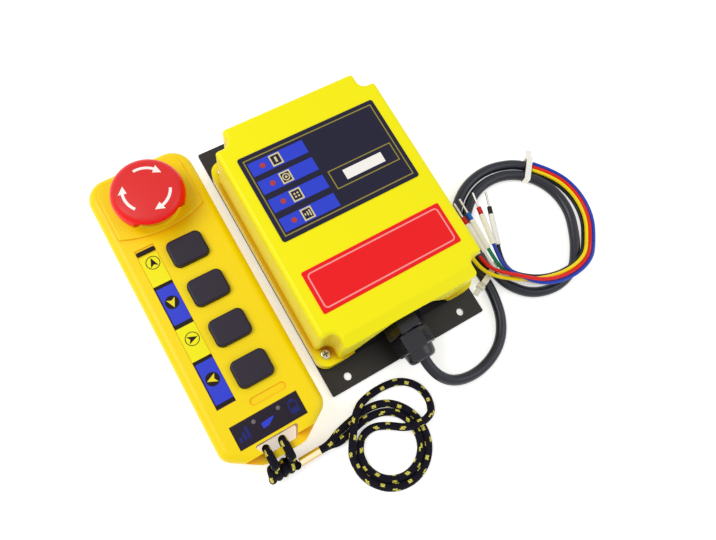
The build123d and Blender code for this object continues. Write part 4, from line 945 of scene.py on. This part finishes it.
# The handset's strip and panel
STRIP_X = -71.0
STRIP_W = 10.4
BLUE_FIELDS = ((-40.7, 27.5), (5.4, 25.8))      # middle and length along y
END_LOW, END_HIGH = 2.2, 1.8                    # lengths of a blue field's dark ends
EDGE_W = 0.5
DISC_R = 3.7
DISC_UP = 1.5
BRIGHT_ARROW = ((0, 3.1), (2.4, -2.1), (0, -0.9), (-2.4, -2.1))
DARK_ARROW = ((0, 3.0), (2.1, -2.4), (0, -1.1), (-2.1, -2.4))
DARK_SPOTS = ((STRIP_X + 0.4, -15.5, -90), (STRIP_X + 0.7, 31.2, 0))     # x, y and turn
MARK_RING = (3.8, 0.4)
PANEL_MIDDLE = (-56.0, -71.6)
PANEL_ASIDE = 14.2
PANEL_BARS = ((-2.3, 2.4), (0.0, 4.2), (2.3, 6.2))                      # aside and height
PANEL_SYMBOL = ((-3.6, -1.3), (-0.6, -1.5), (3.8, 0.5), (3.9, 1.2), (0.6, 1.5), (-3.4, 1.6))


def make_strip_prints():
    """Direction marks on the strip, and dark ends and edge of its blue fields."""
    ends, discs, arrows = [], [], []
    for (y, length), turn in zip(BLUE_FIELDS, (90, 180)):
        ends.append(box_loop(STRIP_X, y - length / 2 + 1.2, STRIP_W, END_LOW))
        ends.append(box_loop(STRIP_X, y + length / 2 - 1.0, STRIP_W, END_HIGH))
        ends.append(box_loop(STRIP_X - STRIP_W / 2 + 0.35, y, EDGE_W, length - 4))
        discs.append(round_loop(STRIP_X, y + DISC_UP, DISC_R))
        arrows.append(turned(BRIGHT_ARROW, turn, STRIP_X, y + DISC_UP))
    print_piece("strip_dark_ends", INK_BLACK, HAND_FACE, ends)
    print_piece("strip_discs", INK_BLACK, HAND_FACE, discs)
    print_piece("strip_bright_arrows", INK_YELLOW, HAND_FACE + OVER_INK, arrows)
    print_piece("strip_marks", INK_BLACK, HAND_FACE,
                [turned(DARK_ARROW, turn, x, y) for x, y, turn in DARK_SPOTS],
                [ring(x, y, *MARK_RING) for x, y, turn in DARK_SPOTS])


def make_panel_prints():
    """Plain shapes on the panel: rising bars, a battery's outline and a slanted wedge."""
    x, y = PANEL_MIDDLE
    left_x, right_x = x - PANEL_ASIDE, x + PANEL_ASIDE
    shapes = [box_loop(left_x + aside, y - 3.0 + tall / 2, 1.5, tall, 0.3)
              for aside, tall in PANEL_BARS]
    shapes += [box_loop(right_x, y + 3.6, 2.0, 0.9), box_loop(right_x, y - 1.7, 2.8, 2.2, 0.2)]
    print_piece("panel_shapes", PANEL_BLUE, HAND_FACE, shapes,
                [box_frame(right_x, y - 0.2, 4.8, 6.6, 0.7, 0.9)])
    print_piece("panel_symbol", BLUE_FILM, HAND_FACE,
                [turned(PANEL_SYMBOL, 8, x - 0.6, y - 0.6)])


# Arrows on the stop button's head
STOP_MIDDLE = (-56.0, 62.3)
STOP_TOP = 47.0
CROWN_R = 176.4              # radius of its slightly domed top
TURN_R = 12.2
TURN_LINE = 1.5
TURN_HEAD = 4.6              # width of an arrow's head
TURN_MIDDLES = (62.0, -58.0, 182.0)
TAIL_ANGLES = range(36, -17, -4)         # from an arrow's tail to its head, about its middle
NECK_ANGLE, TIP_ANGLE = -15, -36


def crown_height(x, y):
    """Height of the head's domed top."""
    across = math.hypot(x - STOP_MIDDLE[0], y - STOP_MIDDLE[1])
    return STOP_TOP - CROWN_R + math.sqrt(CROWN_R**2 - across**2)


def make_turn_arrows():
    """Three curved arrows, clockwise: the way the head turns to let go."""
    fills = []
    for middle in TURN_MIDDLES:
        def at(angle, radius):
            turn = math.radians(middle + angle)
            return (radius * math.cos(turn), radius * math.sin(turn))
        outer = [at(angle, TURN_R + TURN_LINE / 2) for angle in TAIL_ANGLES]
        inner = [at(angle, TURN_R - TURN_LINE / 2) for angle in TAIL_ANGLES]
        for k in range(len(outer) - 1):
            fills.append([outer[k], outer[k + 1], inner[k + 1], inner[k]])
        fills.append([at(NECK_ANGLE, TURN_R + TURN_HEAD / 2), at(TIP_ANGLE, TURN_R),
                      at(NECK_ANGLE, TURN_R - TURN_HEAD / 2)])
    print_piece("turn_arrows", INK_WHITE, STOP_TOP, fills, offset=STOP_MIDDLE, body=HEAD,
                surface=crown_height)


make_label_prints()
make_strip_prints()
make_panel_prints()
make_turn_arrows()


# Stage

TABLE_REACH = 4.0
TABLE_GLOW = 0.5             # lifts the table to white and keeps a faint shadow
SKY_LIGHT = 0.5              # as it lights the pieces; it is seen and mirrored at 1
LAMPS = (                    # name, place, size and power
    ("key_lamp", (-0.45, 0.25, 0.75), 0.5, 3.6),
    ("fill_lamp", (0.6, -0.35, 0.7), 0.6, 1.4),
)


def make_table():
    """A white table under the part."""
    material, tree, shader = new_material("table_white")
    settings = {
        "Base Color": (0.9, 0.9, 0.9, 1), "Roughness": 0.9, "Specular IOR Level": 0.1,
        "Emission Color": (1, 1, 1, 1), "Emission Strength": TABLE_GLOW,
    }
    for label, value in settings.items():
        shader.inputs[label].default_value = value
    bm = bmesh.new()
    bmesh.ops.create_grid(bm, x_segments=1, y_segments=1, size=TABLE_REACH)
    bmesh.ops.translate(bm, verts=bm.verts, vec=(0, 0, cad_box[0][2]))
    add_mesh("table", bm, material)


def make_sky():
    """A soft white sky."""
    world = bpy.data.worlds.new("studio")
    world.use_nodes = True
    tree = world.node_tree
    background = tree.nodes["Background"]
    background.inputs["Color"].default_value = (1, 1, 1, 1)
    path = tree.nodes.new("ShaderNodeLightPath")
    mirrored = math_node(tree, "MAXIMUM", path.outputs["Is Glossy Ray"],
                         path.outputs["Is Transmission Ray"])
    seen = math_node(tree, "MAXIMUM", path.outputs["Is Camera Ray"], mirrored)
    strength = math_node(tree, "MULTIPLY_ADD", seen, 1.0 - SKY_LIGHT, SKY_LIGHT)
    tree.links.new(strength, background.inputs["Strength"])
    bpy.context.scene.world = world


def make_lamps():
    """Two large lamps, both turned to the part."""
    for name, place, size, power in LAMPS:
        data = bpy.data.lights.new(name, "AREA")
        data.size = size
        data.energy = power
        lamp = add_object(name, data)
        lamp.location = place
        lamp.rotation_euler = (-Vector(place)).to_track_quat("-Z", "Y").to_euler()


make_table()
make_sky()
make_lamps()
bpy.context.scene.view_settings.view_transform = "Standard"
